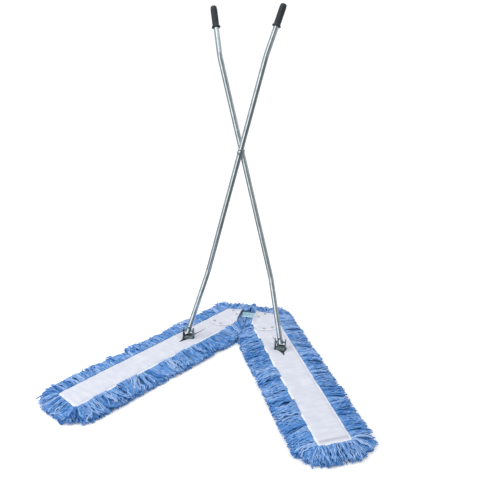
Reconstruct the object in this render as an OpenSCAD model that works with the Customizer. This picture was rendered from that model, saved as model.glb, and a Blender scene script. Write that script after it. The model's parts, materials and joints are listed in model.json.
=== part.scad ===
// Two-arm V dust mop: two canvas-backed yarn heads on hinged steel frames,
// swept by a pair of bent steel handles that cross like scissors.
// Millimetres, +Z up, floor at Z = 0, the mouth of the V towards -Y.

/* [Mop heads] */
// Half of the angle between the two heads, in degrees
half_angle = 29; // [27:0.5:31]
// Distance from a head's hinge pin to the outer end of its canvas pocket
arm_len = 950; // [800:10:1000]
// Width of the canvas pocket
pocket_w = 140; // [136:1:146]
// Height of the canvas pocket over its yarn pile
pocket_h = 22; // [22:0.5:26]
// Thickness of the canvas
canvas_t = 1.6; // [1.2:0.1:1.8]
// Corner radius of the pocket's outer end
pocket_r = 16; // [8:1:24]
// Distance from the hinge pins back to the rear edge of the pocket
pocket_rear = 38; // [32:1:44]
// Distance from the middle plane to the pocket's mitred mouth
mouth_x = 36; // [32:1:38]
// Radius of the flap's round end
flap_r = 58; // [50:1:62]
// Distance from the hinge pin to the flap's round end
flap_len = 158; // [130:1:170]

/* [Yarn] */
// Thickness of the yarn pile under the pocket
pile_t = 14; // [12:0.5:16]
// Reach of the fringe beyond the pocket's edge
fringe_len = 90; // [60:1:100]
// Height of the fringe where it leaves the pocket
fringe_edge_h = 31; // [24:1:34]
// Height of the fringe at its loose end
fringe_tip_h = 20; // [12:1:22]

/* [Hinge link] */
// Half of the distance between the two hinge pins
link_half = 56; // [54:1:60]
// Thickness of the folded link sheet
leaf_t = 2.5; // [2:0.5:3]
// Diameter of the hinge pins
hinge_pin_d = 10; // [8:1:12]
// Furthest that each arm closes from rest, in degrees
close_deg = 5; // [2:1:6]
// Furthest that each arm opens from rest, in degrees
open_deg = 16; // [10:1:16]

/* [Inner frame] */
// Diameter of the frame rod
rod_d = 8; // [7:0.5:9]
// Distance between the two long rods of a frame
frame_w = 92; // [86:1:100]
// Thickness of the hinge tongue
tongue_t = 5; // [4:0.5:5]
// Width of the hinge tongue
tongue_w = 34; // [28:1:34]
// Thickness of the plate that carries the foot joint
bridge_t = 3; // [2.5:0.5:3.5]

/* [Foot joint] */
// Distance from the hinge pin to the foot joint along a head
foot_dist = 319; // [300:1:340]
// Height of the lean pin over the floor
foot_z = 70; // [64:1:74]
// Diameter of the lean pin
lean_pin_d = 8; // [7:0.5:9]
// Clear width between the clevis ears
ear_gap = 42; // [40:1:44]
// Thickness of the clevis strip
ear_t = 2.5; // [2:0.5:3]
// Width of the clevis strip
ear_w = 24; // [20:1:26]
// Diameter of the rivet that the clevis swivels on
swivel_d = 10; // [8:1:10]
// Distance from the lean pin up to the tilt rivet
tilt_rise = 16; // [14:1:20]
// Diameter of the tilt rivet
tilt_d = 6; // [5:0.5:6]

/* [Handles] */
// Diameter of the handle tube
tube_d = 22; // [21:0.5:23]
// Wall of the handle tube
tube_wall = 1.2; // [1:0.1:1.6]
// Length from the lean pin to the lower bend
leg_len = 280; // [260:5:320]
// Lower bend, in degrees
leg_bend = 17; // [12:0.5:18]
// Length from the lower bend to the crossing pivot
pivot_up = 564; // [520:2:600]
// Length from the crossing pivot to the upper bend
upper_len = 400; // [360:1:430]
// Upper bend, in degrees
grip_bend = 20; // [10:0.5:30]
// Length from the upper bend to the end of the grip
grip_leg = 220; // [190:1:240]
// Radius of the bends along the tube's middle
bend_r = 90; // [70:5:120]
// Lean of the straight middle of the handles, in degrees
handle_lean = 6.4; // [0:0.2:10]
// Gap between the two tubes at the crossing
cross_gap = 4; // [4:0.5:6]
// Diameter of the pivot bolt
bolt_d = 8; // [6:1:8]

/* [Grips] */
// Length of a grip with its flange
grip_len = 96; // [90:1:110]
// Diameter of the grip over its ribs
grip_d = 28; // [27:0.5:31]
// Diameter of the grip's flange
flange_d = 36; // [34:1:40]
// Number of ribs round the grip
grip_ribs = 14; // [8:1:18]

/* [Hidden] */
$fn = 64;

LEFT = -1;
RIGHT = 1;
// Clearances: between faces that pass each other, and round a turning pin
gap = 0.3;
run_fit = 0.05;
far = 3000;

// Heights of the layers over the floor
rod_rise = 8.4;
pocket_z = pile_t;
pocket_top = pocket_z + pocket_h;
rod_z = pocket_z + canvas_t + rod_rise;
tongue_z = rod_z - tongue_t / 2;
leaf_top_z = tongue_z + tongue_t + gap;
leaf_low_z = tongue_z - gap - leaf_t;
bridge_sink = 0.4;
bridge_z = rod_z + rod_d / 2 - bridge_sink;
clevis_z = bridge_z + bridge_t + gap;

// Corners of the pocket's outline along (s) and across (t) a head, inset by i
half_w = pocket_w / 2;
function corner_rear(i) = [((half_w - i) * sin(half_angle) - pocket_rear + i) / cos(half_angle), half_w - i];
function corner_mouth(i, x) = [(x - link_half + (half_w - i) * cos(half_angle)) / sin(half_angle), i - half_w];
function corner_apex(i, x) = [(x - link_half) * sin(half_angle) - (pocket_rear - i) * cos(half_angle),
  (x - link_half) * cos(half_angle) + (pocket_rear - i) * sin(half_angle)];

// The floor outline's middle is the origin: its reach to the front and to the rear of the hinge pins
front_reach = arm_len * cos(half_angle) + half_w * sin(half_angle) + fringe_len;
rear_reach = pocket_rear + fringe_len;
hinge_y = (front_reach - rear_reach) / 2;

// Foot joint and crossing pivot
foot_x = link_half + foot_dist * sin(half_angle);
foot_y = hinge_y - foot_dist * cos(half_angle);
pivot_w = leg_len * cos(leg_bend) + pivot_up;
splay = asin(foot_x / pivot_w);
side_step = (tube_d + cross_gap) / 2;
sway = atan(side_step / pivot_w);
pivot_u = pivot_w * cos(splay);
pivot_v = leg_len * sin(leg_bend) / cos(sway);
leg_end = 10;
slot_play = 2;
slit_half_w = 30;
slit_out = 42;
slit_in = 110;
saddle_d = 20;
head_h = 3;

// Puts children on the right, or mirrored on the left
module on_side(side) {
  if (side == LEFT) mirror([1, 0, 0]) children();
  else children();
}

// Frame of a head: X runs out along it from the hinge pin, Y points to its outer side
module on_arm(side) {
  on_side(side) translate([link_half, hinge_y, 0]) rotate([0, 0, half_angle - 90]) children();
}

// Frame at the lean pin
module at_foot(side) {
  on_side(side) translate([foot_x, foot_y, foot_z]) children();
}

// Frame of the plane that a handle swings in: Y is along the scissor axis
module in_scissor_plane(side) {
  at_foot(side) rotate([-handle_lean, 0, 0]) rotate([0, -splay, 0]) children();
}

// Frame of a handle: the left tube passes in front of the right one
module on_handle(side) {
  in_scissor_plane(side) rotate([-side * sway, 0, 0]) children();
}

// Frame of a handle's lower leg, Z up along the tube
module on_leg(side) {
  on_handle(side) rotate([-leg_bend, 0, 0]) children();
}

// Frame of a handle's grip leg, Z up along the tube
module on_grip_leg(side) {
  on_handle(side)
    translate([0, leg_len * sin(leg_bend), pivot_w + upper_len])
      rotate([-grip_bend, 0, 0]) children();
}

// Frame at the tilt rivet, Z along the scissor axis
module at_tilt(side) {
  in_scissor_plane(side)
    translate([0, tilt_rise * sin(leg_bend + side * sway), tilt_rise * cos(leg_bend + side * sway)])
      rotate([90, 0, 0]) children();
}

// Frame at the crossing pivot, Z towards the front along the scissor axis
module at_pivot() {
  translate([0, foot_y + pivot_u * sin(handle_lean) + pivot_v * cos(handle_lean),
      foot_z + pivot_u * cos(handle_lean) - pivot_v * sin(handle_lean)])
    rotate([90 - handle_lean, 0, 0]) children();
}

module along_x(length, r) {
  rotate([0, 90, 0]) cylinder(h = length, r = r, center = true);
}

// A domed rivet head, flat side down
module rivet_head(r, h) {
  sphere_r = (r * r + h * h) / (2 * h);
  intersection() {
    translate([0, 0, h - sphere_r]) sphere(r = sphere_r);
    cylinder(h = h, r = r);
  }
}

// Outline of the pocket, inset by i, with its mouth at mouth
module pocket_outline(i, mouth) {
  r = pocket_r - i;
  end_s = arm_len - i;
  h = half_w - i;
  polygon([corner_rear(i), [end_s - r, h], [end_s, h - r], [end_s, r - h], [end_s - r, -h],
      corner_mouth(i, mouth), corner_apex(i, mouth)]);
  for (t = [h - r, r - h]) translate([end_s - r, t]) circle(r);
}

// Half of the slit for the foot joint, pointed at tip from the joint
module slit_half(tip) {
  arc_r = (tip * tip + slit_half_w * slit_half_w) / (2 * slit_half_w);
  intersection() {
    translate([0, slit_half_w - arc_r]) circle(arc_r);
    translate([0, arc_r - slit_half_w]) circle(arc_r);
    translate([0, -far / 2]) square(far);
  }
}

module slit_outline() {
  translate([foot_dist, 0]) {
    slit_half(slit_out);
    mirror([1, 0]) slit_half(slit_in);
  }
}

// What stays clear of the middle plane when the head stands at a half angle
module own_side(angle) {
  clear = 1.6;
  rotate(90 - angle) translate([clear - link_half, -far / 2]) square(far);
}

// Hinge link: a folded channel with two leaves and a web towards the mouth
module hinge_link() {
  leaf_r = 20;
  web_half = 44;
  web_y = 24;
  fold_r = 4;
  tall = leaf_top_z + leaf_t - leaf_low_z;
  color("lightsteelblue") translate([0, hinge_y, 0]) difference() {
    union() {
      for (z = [leaf_low_z, leaf_top_z]) translate([0, 0, z]) linear_extrude(leaf_t) {
        for (x = [-link_half, link_half]) translate([x, 0]) circle(leaf_r);
        translate([-link_half, -leaf_r]) square([2 * link_half, 2 * leaf_r]);
      }
      translate([-web_half, 0, leaf_low_z]) rotate([90, 0, 90]) linear_extrude(2 * web_half) difference() {
        channel_face(web_y, tall, fold_r);
        translate([0, leaf_t]) channel_face(web_y - leaf_t, tall - 2 * leaf_t, fold_r - leaf_t);
      }
    }
    for (x = [-link_half, link_half])
      translate([x, 0, leaf_low_z - 1]) cylinder(h = tall + 2, d = hinge_pin_d);
  }
}

// A face of the given reach to the front and height, round at its two front corners
module channel_face(reach, tall, r) {
  translate([r - reach, 0]) square([reach - r, tall]);
  translate([-reach, r]) square([r, tall - 2 * r]);
  for (z = [r, tall - r]) translate([r - reach, z]) circle(r);
}

module hinge_pins() {
  head_r = hinge_pin_d / 2 + 3.5;
  low_head_h = 2.5;
  tall = leaf_top_z + leaf_t - leaf_low_z;
  color("gainsboro") for (x = [-link_half, link_half]) translate([x, hinge_y, leaf_low_z]) {
    cylinder(h = tall, d = hinge_pin_d);
    translate([0, 0, tall]) rivet_head(head_r, low_head_h);
    mirror([0, 0, 1]) rivet_head(head_r, low_head_h);
  }
}

// Plates of the inner frame, let into its rods
tongue_s = 58;
tongue_l = 40;
cross_s = 620;
cross_l = 28;
let_in = 1.5;
plate_half = frame_w / 2 - rod_d / 2 + let_in;

module tongue_solid() {
  translate([0, 0, tongue_z]) linear_extrude(tongue_t) {
    circle(d = tongue_w);
    translate([0, -tongue_w / 2]) square([tongue_s, tongue_w]);
    translate([tongue_s, -plate_half]) square([tongue_l, 2 * plate_half]);
  }
}

module bridge_solid() {
  bridge_in = 44;
  bridge_l = 92;
  translate([foot_dist - bridge_in, -frame_w / 2 - rod_d / 4, bridge_z])
    cube([bridge_l, frame_w + rod_d / 2, bridge_t]);
}

module cross_bar_solid() {
  translate([cross_s, -plate_half, rod_z - bridge_t / 2]) cube([cross_l, 2 * plate_half, bridge_t]);
}

// Frame rod: one long loop, open at the hinge end
module frame(side) {
  start_s = 44;
  end_s = arm_len - 40;
  corner_r = 30;
  t = frame_w / 2;
  color("darkgray") on_arm(side) difference() {
    translate([0, 0, rod_z]) {
      for (m = [0, 1]) mirror([0, m, 0]) {
        translate([start_s, t, 0]) rotate([0, 90, 0]) cylinder(h = end_s - corner_r - start_s, d = rod_d);
        translate([end_s - corner_r, t - corner_r, 0])
          rotate_extrude(angle = 90) translate([corner_r, 0]) circle(d = rod_d);
      }
      translate([end_s, 0, 0]) rotate([90, 0, 0])
        cylinder(h = frame_w - 2 * corner_r, d = rod_d, center = true);
    }
    tongue_solid();
    bridge_solid();
    cross_bar_solid();
  }
}

module tongue(side) {
  color("silver") on_arm(side) difference() {
    tongue_solid();
    translate([0, 0, tongue_z - 1]) cylinder(h = tongue_t + 2, r = hinge_pin_d / 2 + run_fit);
  }
}

module bridge(side) {
  color("dimgray") on_arm(side) difference() {
    bridge_solid();
    translate([foot_dist, 0, bridge_z - 1]) cylinder(h = bridge_t + 2, r = swivel_d / 2 + run_fit);
  }
}

module cross_bar(side) {
  color("darkgray") on_arm(side) cross_bar_solid();
}

// Canvas pocket, open at its mouth, with the slit that the foot joint stands in
module pocket(side) {
  open_by = 8;
  color("whitesmoke") on_arm(side) difference() {
    translate([0, 0, pocket_z]) linear_extrude(pocket_h) pocket_outline(0, mouth_x);
    translate([0, 0, pocket_z + canvas_t]) linear_extrude(pocket_h - 2 * canvas_t)
      pocket_outline(canvas_t, mouth_x - open_by);
    translate([0, 0, pocket_top - 2 * canvas_t]) linear_extrude(3 * canvas_t) slit_outline();
  }
}

// Canvas flap folded over the pocket's hinge end
module flap(side) {
  edge = half_w - flap_r;
  round_s = flap_len - flap_r;
  color("white") on_arm(side) translate([0, 0, pocket_top]) linear_extrude(canvas_t) {
    polygon([corner_rear(edge), [round_s, flap_r], [round_s, -flap_r],
        corner_mouth(edge, mouth_x + 2), corner_apex(3, mouth_x + 2)]);
    translate([round_s, 0]) circle(flap_r);
  }
}

// Press studs that hold the flap down
module studs(side) {
  stud_r = 6.5;
  dimple_r = 3;
  dimple_deep = 0.8;
  end_s = flap_len - 22;
  half_span = 20;
  hinge_pair = [[4, 24], [20, -14]];
  color("lightgray") on_arm(side)
    for (p = concat([[end_s, half_span], [end_s, -half_span]], hinge_pair))
      translate([p[0], p[1], pocket_top + canvas_t]) difference() {
        rivet_head(stud_r, head_h);
        translate([0, 0, head_h - dimple_deep]) cylinder(h = 2 * dimple_deep, r = dimple_r);
      }
}

// Yarn pile under the pocket, flat on the floor
module pile(side) {
  color("cornflowerblue") on_arm(side) linear_extrude(pile_t) pocket_outline(0, mouth_x);
}

// Section of the fringe from the pocket's edge out to its loose end, drawn in by thin on its open faces
module fringe_section(thin) {
  steps = 6;
  droop = 2.4;
  reach = fringe_len - gap - thin;
  fall = fringe_edge_h - fringe_tip_h;
  polygon(concat([[0, 0], [reach, 0]],
      [for (i = [steps:-1:0]) let (r = i / steps) [reach * r, fringe_edge_h - thin - fall * pow(r, droop)]]));
}

// Straight stretch of fringe to the right of its run, lapped past the corners that it runs between
module fringe_run(from, to) {
  lap = 2;
  along = to - from;
  translate([from[0], from[1], 0]) rotate([0, 0, atan2(along[1], along[0])]) translate([-lap, 0, 0])
    rotate([90, 0, 90]) linear_extrude(norm(along) + 2 * lap) mirror([1, 0]) fringe_section(0);
}

// Fringe that fans round a corner of the outline from a heading, lapped into the runs beside it
module fringe_fan(at, heading, turn) {
  lap = 1;
  draw_in = 0.2;
  translate([at[0], at[1], 0]) rotate([0, 0, heading - lap])
    rotate_extrude(angle = turn + 2 * lap) fringe_section(draw_in);
}

// Fringe round the pocket, and the flat yarn between the two heads at the hinge
module fringe(side) {
  outer_end = [arm_len + gap, half_w + gap];
  inner_end = [arm_len + gap, -half_w - gap];
  rear = corner_rear(-gap);
  flat_inset = 2;
  color("royalblue") on_arm(side) intersection() {
    union() {
      fringe_run(outer_end, rear);
      fringe_run(inner_end, outer_end);
      fringe_run(corner_mouth(-gap, mouth_x), inner_end);
      fringe_run(rear, corner_apex(-gap, mouth_x));
      fringe_fan(outer_end, 0, 90);
      fringe_fan(inner_end, -90, 90);
      fringe_fan(rear, 90, 90 - half_angle);
      rotate([0, 0, 90 - half_angle]) translate([-link_half, -2 * fringe_len, 0])
        cube([mouth_x - gap, 2 * fringe_len + rear_reach - flat_inset, pile_t - gap]);
    }
    linear_extrude(fringe_edge_h + 1) intersection() {
      own_side(half_angle - close_deg);
      own_side(half_angle + open_deg);
    }
  }
}

// Clevis: a strip folded into a U that stays square to the object
module clevis(side) {
  fold_r = 6;
  wide = ear_gap + 2 * ear_t;
  tall = foot_z - clevis_z + ear_w / 2 + 2;
  color("slategray") at_foot(side) difference() {
    intersection() {
      translate([0, ear_w, clevis_z - foot_z]) rotate([90, 0, 0]) linear_extrude(2 * ear_w) difference() {
        strip_face(wide, tall, fold_r);
        translate([0, ear_t]) strip_face(ear_gap, tall, fold_r - ear_t);
      }
      rotate([90, 0, 90]) linear_extrude(2 * wide, center = true) {
        translate([-ear_w / 2, clevis_z - foot_z]) square([ear_w, foot_z - clevis_z + 2]);
        translate([0, 2]) circle(d = ear_w);
      }
    }
    along_x(2 * wide, lean_pin_d / 2);
    translate([0, 0, clevis_z - foot_z - 1]) cylinder(h = ear_t + 2, d = swivel_d);
  }
}

// A face of the given width and height standing on its middle, round at its two lower corners
module strip_face(wide, tall, r) {
  translate([-wide / 2, r]) square([wide, tall - r]);
  translate([r - wide / 2, 0]) square([wide - 2 * r, r]);
  for (x = [r - wide / 2, wide / 2 - r]) translate([x, r]) circle(r);
}

module lean_pin(side) {
  low_head_h = 2;
  wide = ear_gap + 2 * ear_t;
  color("gainsboro") at_foot(side) {
    along_x(wide, lean_pin_d / 2);
    for (m = [0, 1]) mirror([m, 0, 0])
      translate([wide / 2, 0, 0]) rotate([0, 90, 0]) rivet_head(lean_pin_d / 2 + 2.5, low_head_h);
  }
}

module swivel_rivet(side) {
  head_r = swivel_d / 2 + 3;
  low_z = bridge_z - gap;
  top_z = clevis_z + ear_t;
  color("gainsboro") on_arm(side) translate([foot_dist, 0, 0]) {
    translate([0, 0, low_z]) cylinder(h = top_z - low_z, d = swivel_d);
    translate([0, 0, top_z]) rivet_head(head_r, head_h);
    translate([0, 0, low_z]) mirror([0, 0, 1]) rivet_head(head_r, head_h);
  }
}

// Knuckle: the block inside the tube's foot that leans on one pin and tilts on another
module knuckle(side) {
  knuckle_d = 15;
  knuckle_w = 11;
  low = -8;
  high = 26;
  color("silver") difference() {
    on_leg(side) intersection() {
      translate([0, 0, low]) cylinder(h = high - low, d = knuckle_d);
      translate([-knuckle_w / 2, -knuckle_d, low]) cube([knuckle_w, 2 * knuckle_d, high - low]);
    }
    at_foot(side) along_x(2 * tube_d, lean_pin_d / 2 + run_fit);
    at_tilt(side) cylinder(h = 2 * tube_d, r = tilt_d / 2 + run_fit, center = true);
  }
}

// Section of the handle tube; a bend draws its wall in by thin on both faces
module tube_ring(thin) {
  difference() {
    circle(r = tube_d / 2 - thin);
    circle(r = tube_d / 2 - tube_wall + thin);
  }
}

// A handle's tube from below the lean pin to its upper end
module bent_tube(low, high) {
  bend_at = [leg_len * sin(leg_bend), leg_len * cos(leg_bend)];
  top_w = pivot_w + upper_len;
  leg_cut = bend_r * tan(leg_bend / 2);
  grip_cut = bend_r * tan(grip_bend / 2);
  rotate([-leg_bend, 0, 0]) translate([0, 0, low]) linear_extrude(leg_len - leg_cut - low) tube_ring(0);
  tube_bend([bend_at[0] - bend_r, bend_at[1] + leg_cut], -leg_bend, leg_bend);
  translate([0, bend_at[0], bend_at[1] + leg_cut])
    linear_extrude(top_w - bend_at[1] - leg_cut - grip_cut) tube_ring(0);
  tube_bend([bend_at[0] + bend_r, top_w - grip_cut], 180 - grip_bend, grip_bend);
  translate([0, bend_at[0], top_w]) rotate([-grip_bend, 0, 0])
    translate([0, 0, grip_cut]) linear_extrude(high - grip_cut) tube_ring(0);
}

// One bend of the tube in the Y-Z plane about a middle point, lapped into the straights
module tube_bend(middle, from, turn) {
  lap = 0.6;
  draw_in = 0.05;
  translate([0, middle[0], middle[1]]) rotate(a = 120, v = [1, 1, 1]) rotate([0, 0, from - lap])
    rotate_extrude(angle = turn + 2 * lap) translate([bend_r, 0]) tube_ring(draw_in);
}

grip_wall = 5;

module handle(side) {
  tube_end = grip_leg - grip_wall;
  color("lightgray") difference() {
    on_handle(side) bent_tube(-leg_end, tube_end);
    at_foot(side) rotate([-handle_lean, 0, 0]) {
      for (z = [-slot_play, slot_play]) translate([0, 0, z]) along_x(2 * tube_d, lean_pin_d / 2 + gap);
      cube([2 * tube_d, lean_pin_d + 2 * gap, 2 * slot_play], center = true);
    }
    at_tilt(side) cylinder(h = 2 * tube_d, d = tilt_d, center = true);
    at_pivot() cylinder(h = 4 * tube_d, r = bolt_d / 2 + run_fit, center = true);
  }
}

// Ribbed grip with a flange at its lower end and a round closed top
module grip(side) {
  bore_r = tube_d / 2;
  top_r = grip_d / 2 - 1;
  rib_from = 14;
  rib_pitch = (grip_len - top_r - rib_from) / grip_ribs;
  rib_deep = 0.8;
  flange_t = 5;
  ribs = [for (i = [0:grip_ribs - 1], k = [0:3])
      [grip_d / 2 - (k < 2 ? 0 : rib_deep), rib_from + (i + [0, 0.5, 0.6, 0.9][k]) * rib_pitch]];
  dome = [for (a = [0:10:90]) [top_r * cos(a), grip_len - top_r * 0.6 + top_r * 0.6 * sin(a)]];
  color("black") on_grip_leg(side) translate([0, 0, grip_leg - grip_len]) rotate_extrude()
    polygon(concat([[bore_r, 0], [flange_d / 2 - 1, 0], [flange_d / 2, 1], [flange_d / 2, flange_t - 1],
          [flange_d / 2 - 1, flange_t], [grip_d / 2 + 1, flange_t + 1], [grip_d / 2, flange_t + 3]],
        ribs, dome, [[0, grip_len - grip_wall], [bore_r, grip_len - grip_wall]]));
}

module tilt_rivet(side) {
  reach = tube_d / 2 + 1;
  head_r = tilt_d / 2 + 1.5;
  color("gainsboro") {
    at_tilt(side) cylinder(h = 2 * reach, d = tilt_d, center = true);
    difference() {
      at_tilt(side) for (m = [0, 1]) mirror([0, 0, m]) translate([0, 0, reach - head_h]) {
        cylinder(h = head_h, r = head_r);
        translate([0, 0, head_h]) rivet_head(head_r, 1.5);
      }
      on_leg(side) cylinder(h = 4 * tilt_rise, d = tube_d, center = true);
    }
  }
}

// Saddle washers at the crossing: each seats on its tube and is flat on its other side
module saddles(side) {
  seat = tube_d / 2 - 4;
  inner_face = side_step - gap / 2;
  outer_face = tube_d / 2 + 2.5;
  color("black") difference() {
    at_pivot() translate([0, 0, -side * side_step]) {
      translate([0, 0, side > 0 ? seat : -inner_face]) cylinder(h = inner_face - seat, d = saddle_d);
      translate([0, 0, side > 0 ? -outer_face : seat]) cylinder(h = outer_face - seat, d = saddle_d);
    }
    on_handle(side) translate([0, leg_len * sin(leg_bend), pivot_w - 2 * saddle_d])
      cylinder(h = 4 * saddle_d, r = tube_d / 2 + run_fit);
    at_pivot() cylinder(h = 4 * tube_d, r = bolt_d / 2 + run_fit, center = true);
  }
}

bolt_seat = side_step + tube_d / 2 + 2.5;

module pivot_bolt() {
  head_r = 8;
  tail = 7;
  color("silver") at_pivot() {
    translate([0, 0, -bolt_seat - gap - tail]) cylinder(h = 2 * bolt_seat + gap + tail, d = bolt_d);
    translate([0, 0, bolt_seat]) rivet_head(head_r, 5);
  }
}

module pivot_nut() {
  nut_h = 6;
  nut_d = 15;
  color("silver") at_pivot() translate([0, 0, -bolt_seat - gap - nut_h]) difference() {
    cylinder(h = nut_h, d = nut_d, $fn = 6);
    translate([0, 0, -1]) cylinder(h = nut_h + 2, d = bolt_d);
  }
}

hinge_link();
hinge_pins();
frame(LEFT);  // left_frame
tongue(LEFT);  // left_tongue
bridge(LEFT);  // left_bridge
cross_bar(LEFT);  // left_cross_bar
pocket(LEFT);  // left_pocket
flap(LEFT);  // left_flap
studs(LEFT);  // left_studs
pile(LEFT);  // left_pile
fringe(LEFT);  // left_fringe
frame(RIGHT);  // right_frame
tongue(RIGHT);  // right_tongue
bridge(RIGHT);  // right_bridge
cross_bar(RIGHT);  // right_cross_bar
pocket(RIGHT);  // right_pocket
flap(RIGHT);  // right_flap
studs(RIGHT);  // right_studs
pile(RIGHT);  // right_pile
fringe(RIGHT);  // right_fringe
clevis(LEFT);  // left_clevis
lean_pin(LEFT);  // left_lean_pin
swivel_rivet(LEFT);  // left_swivel_rivet
knuckle(LEFT);  // left_knuckle
clevis(RIGHT);  // right_clevis
lean_pin(RIGHT);  // right_lean_pin
swivel_rivet(RIGHT);  // right_swivel_rivet
knuckle(RIGHT);  // right_knuckle
handle(LEFT);  // left_handle
grip(LEFT);  // left_grip
tilt_rivet(LEFT);  // left_tilt_rivet
saddles(LEFT);  // left_saddles
pivot_bolt();
pivot_nut();
handle(RIGHT);  // right_handle
grip(RIGHT);  // right_grip
tilt_rivet(RIGHT);  // right_tilt_rivet
saddles(RIGHT);  // right_saddles
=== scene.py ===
"""Dresses the two-arm dust mop: canvas, yarn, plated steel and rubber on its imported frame, in metres."""

import json
import logging
import math
from collections.abc import Callable, Iterator, Sequence
from contextlib import contextmanager
from dataclasses import dataclass, field
from enum import Enum

import bpy
import numpy as np
from mathutils import Matrix, Vector


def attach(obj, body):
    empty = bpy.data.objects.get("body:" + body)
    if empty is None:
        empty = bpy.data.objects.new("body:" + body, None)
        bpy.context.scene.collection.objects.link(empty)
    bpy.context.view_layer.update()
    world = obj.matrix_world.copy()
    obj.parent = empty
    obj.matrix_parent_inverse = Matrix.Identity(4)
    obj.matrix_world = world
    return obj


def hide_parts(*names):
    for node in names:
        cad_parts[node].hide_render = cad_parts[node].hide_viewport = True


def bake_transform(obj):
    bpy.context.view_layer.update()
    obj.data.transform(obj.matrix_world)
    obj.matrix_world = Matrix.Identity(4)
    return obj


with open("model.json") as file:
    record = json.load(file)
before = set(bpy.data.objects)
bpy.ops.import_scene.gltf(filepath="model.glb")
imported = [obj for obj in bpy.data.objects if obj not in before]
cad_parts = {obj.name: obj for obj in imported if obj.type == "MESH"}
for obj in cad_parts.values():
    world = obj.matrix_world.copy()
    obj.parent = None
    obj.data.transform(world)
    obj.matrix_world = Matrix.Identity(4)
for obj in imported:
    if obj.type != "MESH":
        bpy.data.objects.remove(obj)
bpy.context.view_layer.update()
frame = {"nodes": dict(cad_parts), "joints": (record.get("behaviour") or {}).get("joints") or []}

LOG = logging.getLogger("dust_mop")
MM = 0.001


def linear(hex_colour: str) -> tuple[float, float, float, float]:
    """Turns an sRGB hex colour into a linear one.

    Args:
        hex_colour: Colour such as "#4f86d0".

    Returns:
        Linear red, green, blue and an alpha of one.
    """
    channels = [int(hex_colour[i:i + 2], 16) / 255 for i in (1, 3, 5)]
    toe, slope, lift, gamma = 0.04045, 12.92, 0.055, 2.4
    return (*[c / slope if c <= toe else ((c + lift) / (1 + lift)) ** gamma for c in channels], 1.0)


def feed(tree: bpy.types.NodeTree, node: bpy.types.Node, inputs: dict) -> None:
    """Sets or links a node's inputs.

    Args:
        tree: Node tree that holds the node.
        node: Node to feed.
        inputs: Value or source socket for each input, by name or place.
    """
    for key, value in inputs.items():
        if isinstance(value, bpy.types.NodeSocket):
            tree.links.new(value, node.inputs[key])
        else:
            node.inputs[key].default_value = value


def add_node(tree: bpy.types.NodeTree, kind: str, inputs: dict | None = None, **settings: object) -> bpy.types.Node:
    """Adds a node with its settings, values and links.

    Args:
        tree: Node tree that gets the node.
        kind: Type name of the node.
        inputs: Value or source socket for each input, by name or place.
        **settings: Properties of the node.

    Returns:
        The new node.
    """
    node = tree.nodes.new(kind)
    for name, value in settings.items():
        setattr(node, name, value)
    feed(tree, node, inputs or {})
    return node


class Side(Enum):
    """The two sides of the mop, seen from the mouth of its V."""

    LEFT = -1
    RIGHT = 1

    @property
    def label(self) -> str:
        """Name that begins the names of the side's nodes."""
        return self.name.lower()


def pick(obj: bpy.types.Object) -> None:
    """Selects one piece alone and makes it the active one."""
    bpy.ops.object.select_all(action="DESELECT")
    obj.select_set(True)
    bpy.context.view_layer.objects.active = obj


@contextmanager
def editing(obj: bpy.types.Object) -> Iterator[None]:
    """Opens a piece alone in edit mode, in vertex selection with nothing selected.

    Args:
        obj: Piece to edit.

    Yields:
        Nothing, for as long as the piece is open.
    """
    pick(obj)
    bpy.ops.object.mode_set(mode="EDIT")
    bpy.ops.mesh.select_mode(type="VERT")
    bpy.ops.mesh.select_all(action="DESELECT")
    yield
    bpy.ops.object.mode_set(mode="OBJECT")


def points_of(mesh: bpy.types.Mesh) -> np.ndarray:
    """Gives a mesh's vertex places as rows of three."""
    flat = np.zeros(len(mesh.vertices) * 3)
    mesh.vertices.foreach_get("co", flat)
    return flat.reshape(-1, 3)


def put_points(mesh: bpy.types.Mesh, points: np.ndarray) -> None:
    """Moves a mesh's vertices to new places."""
    mesh.vertices.foreach_set("co", points.ravel())
    mesh.update()


def corners_of(mesh: bpy.types.Mesh) -> np.ndarray:
    """Gives the vertex at each corner of a mesh's faces."""
    corner = np.zeros(len(mesh.loops), int)
    mesh.loops.foreach_get("vertex_index", corner)
    return corner


def choose(obj: bpy.types.Object, test: Callable[[np.ndarray], np.ndarray]) -> None:
    """Selects vertices of an open piece, and the edges and faces that they span.

    Args:
        obj: Piece that is open in edit mode.
        test: Tells from the vertices' places which of them to select.
    """
    bpy.ops.object.mode_set(mode="OBJECT")
    mesh = obj.data
    chosen = test(points_of(mesh))
    mesh.vertices.foreach_set("select", chosen)
    for parts in (mesh.edges, mesh.polygons):
        parts.foreach_set("select", [all(chosen[v] for v in part.vertices) for part in parts])
    bpy.ops.object.mode_set(mode="EDIT")


def add_piece(name: str, operator: Callable, **settings: object) -> bpy.types.Object:
    """Adds a primitive, selected alone and with its placing applied to its mesh.

    Args:
        name: Name of the piece and its mesh.
        operator: Blender's operator for the primitive.
        **settings: The operator's settings.

    Returns:
        The piece.
    """
    bpy.ops.object.select_all(action="DESELECT")
    operator(**settings)
    bpy.ops.object.transform_apply(location=True, rotation=True, scale=True)
    obj = bpy.context.object
    obj.name = obj.data.name = name
    return obj


def copies(name: str, points: np.ndarray, faces: Sequence[Sequence[int]]) -> bpy.types.Object:
    """Makes one piece of many copies of a shape.

    Args:
        name: Name of the piece.
        points: Places of the vertices, by copy and vertex.
        faces: Vertices of each face of one copy.

    Returns:
        The piece.
    """
    amount, count = points.shape[:2]
    mesh = bpy.data.meshes.new(name)
    mesh.from_pydata(points.reshape(-1, 3).tolist(), [],
                     [[v + i * count for v in face] for i in range(amount) for face in faces])
    piece = bpy.data.objects.new(name, mesh)
    bpy.context.scene.collection.objects.link(piece)
    return piece


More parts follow.
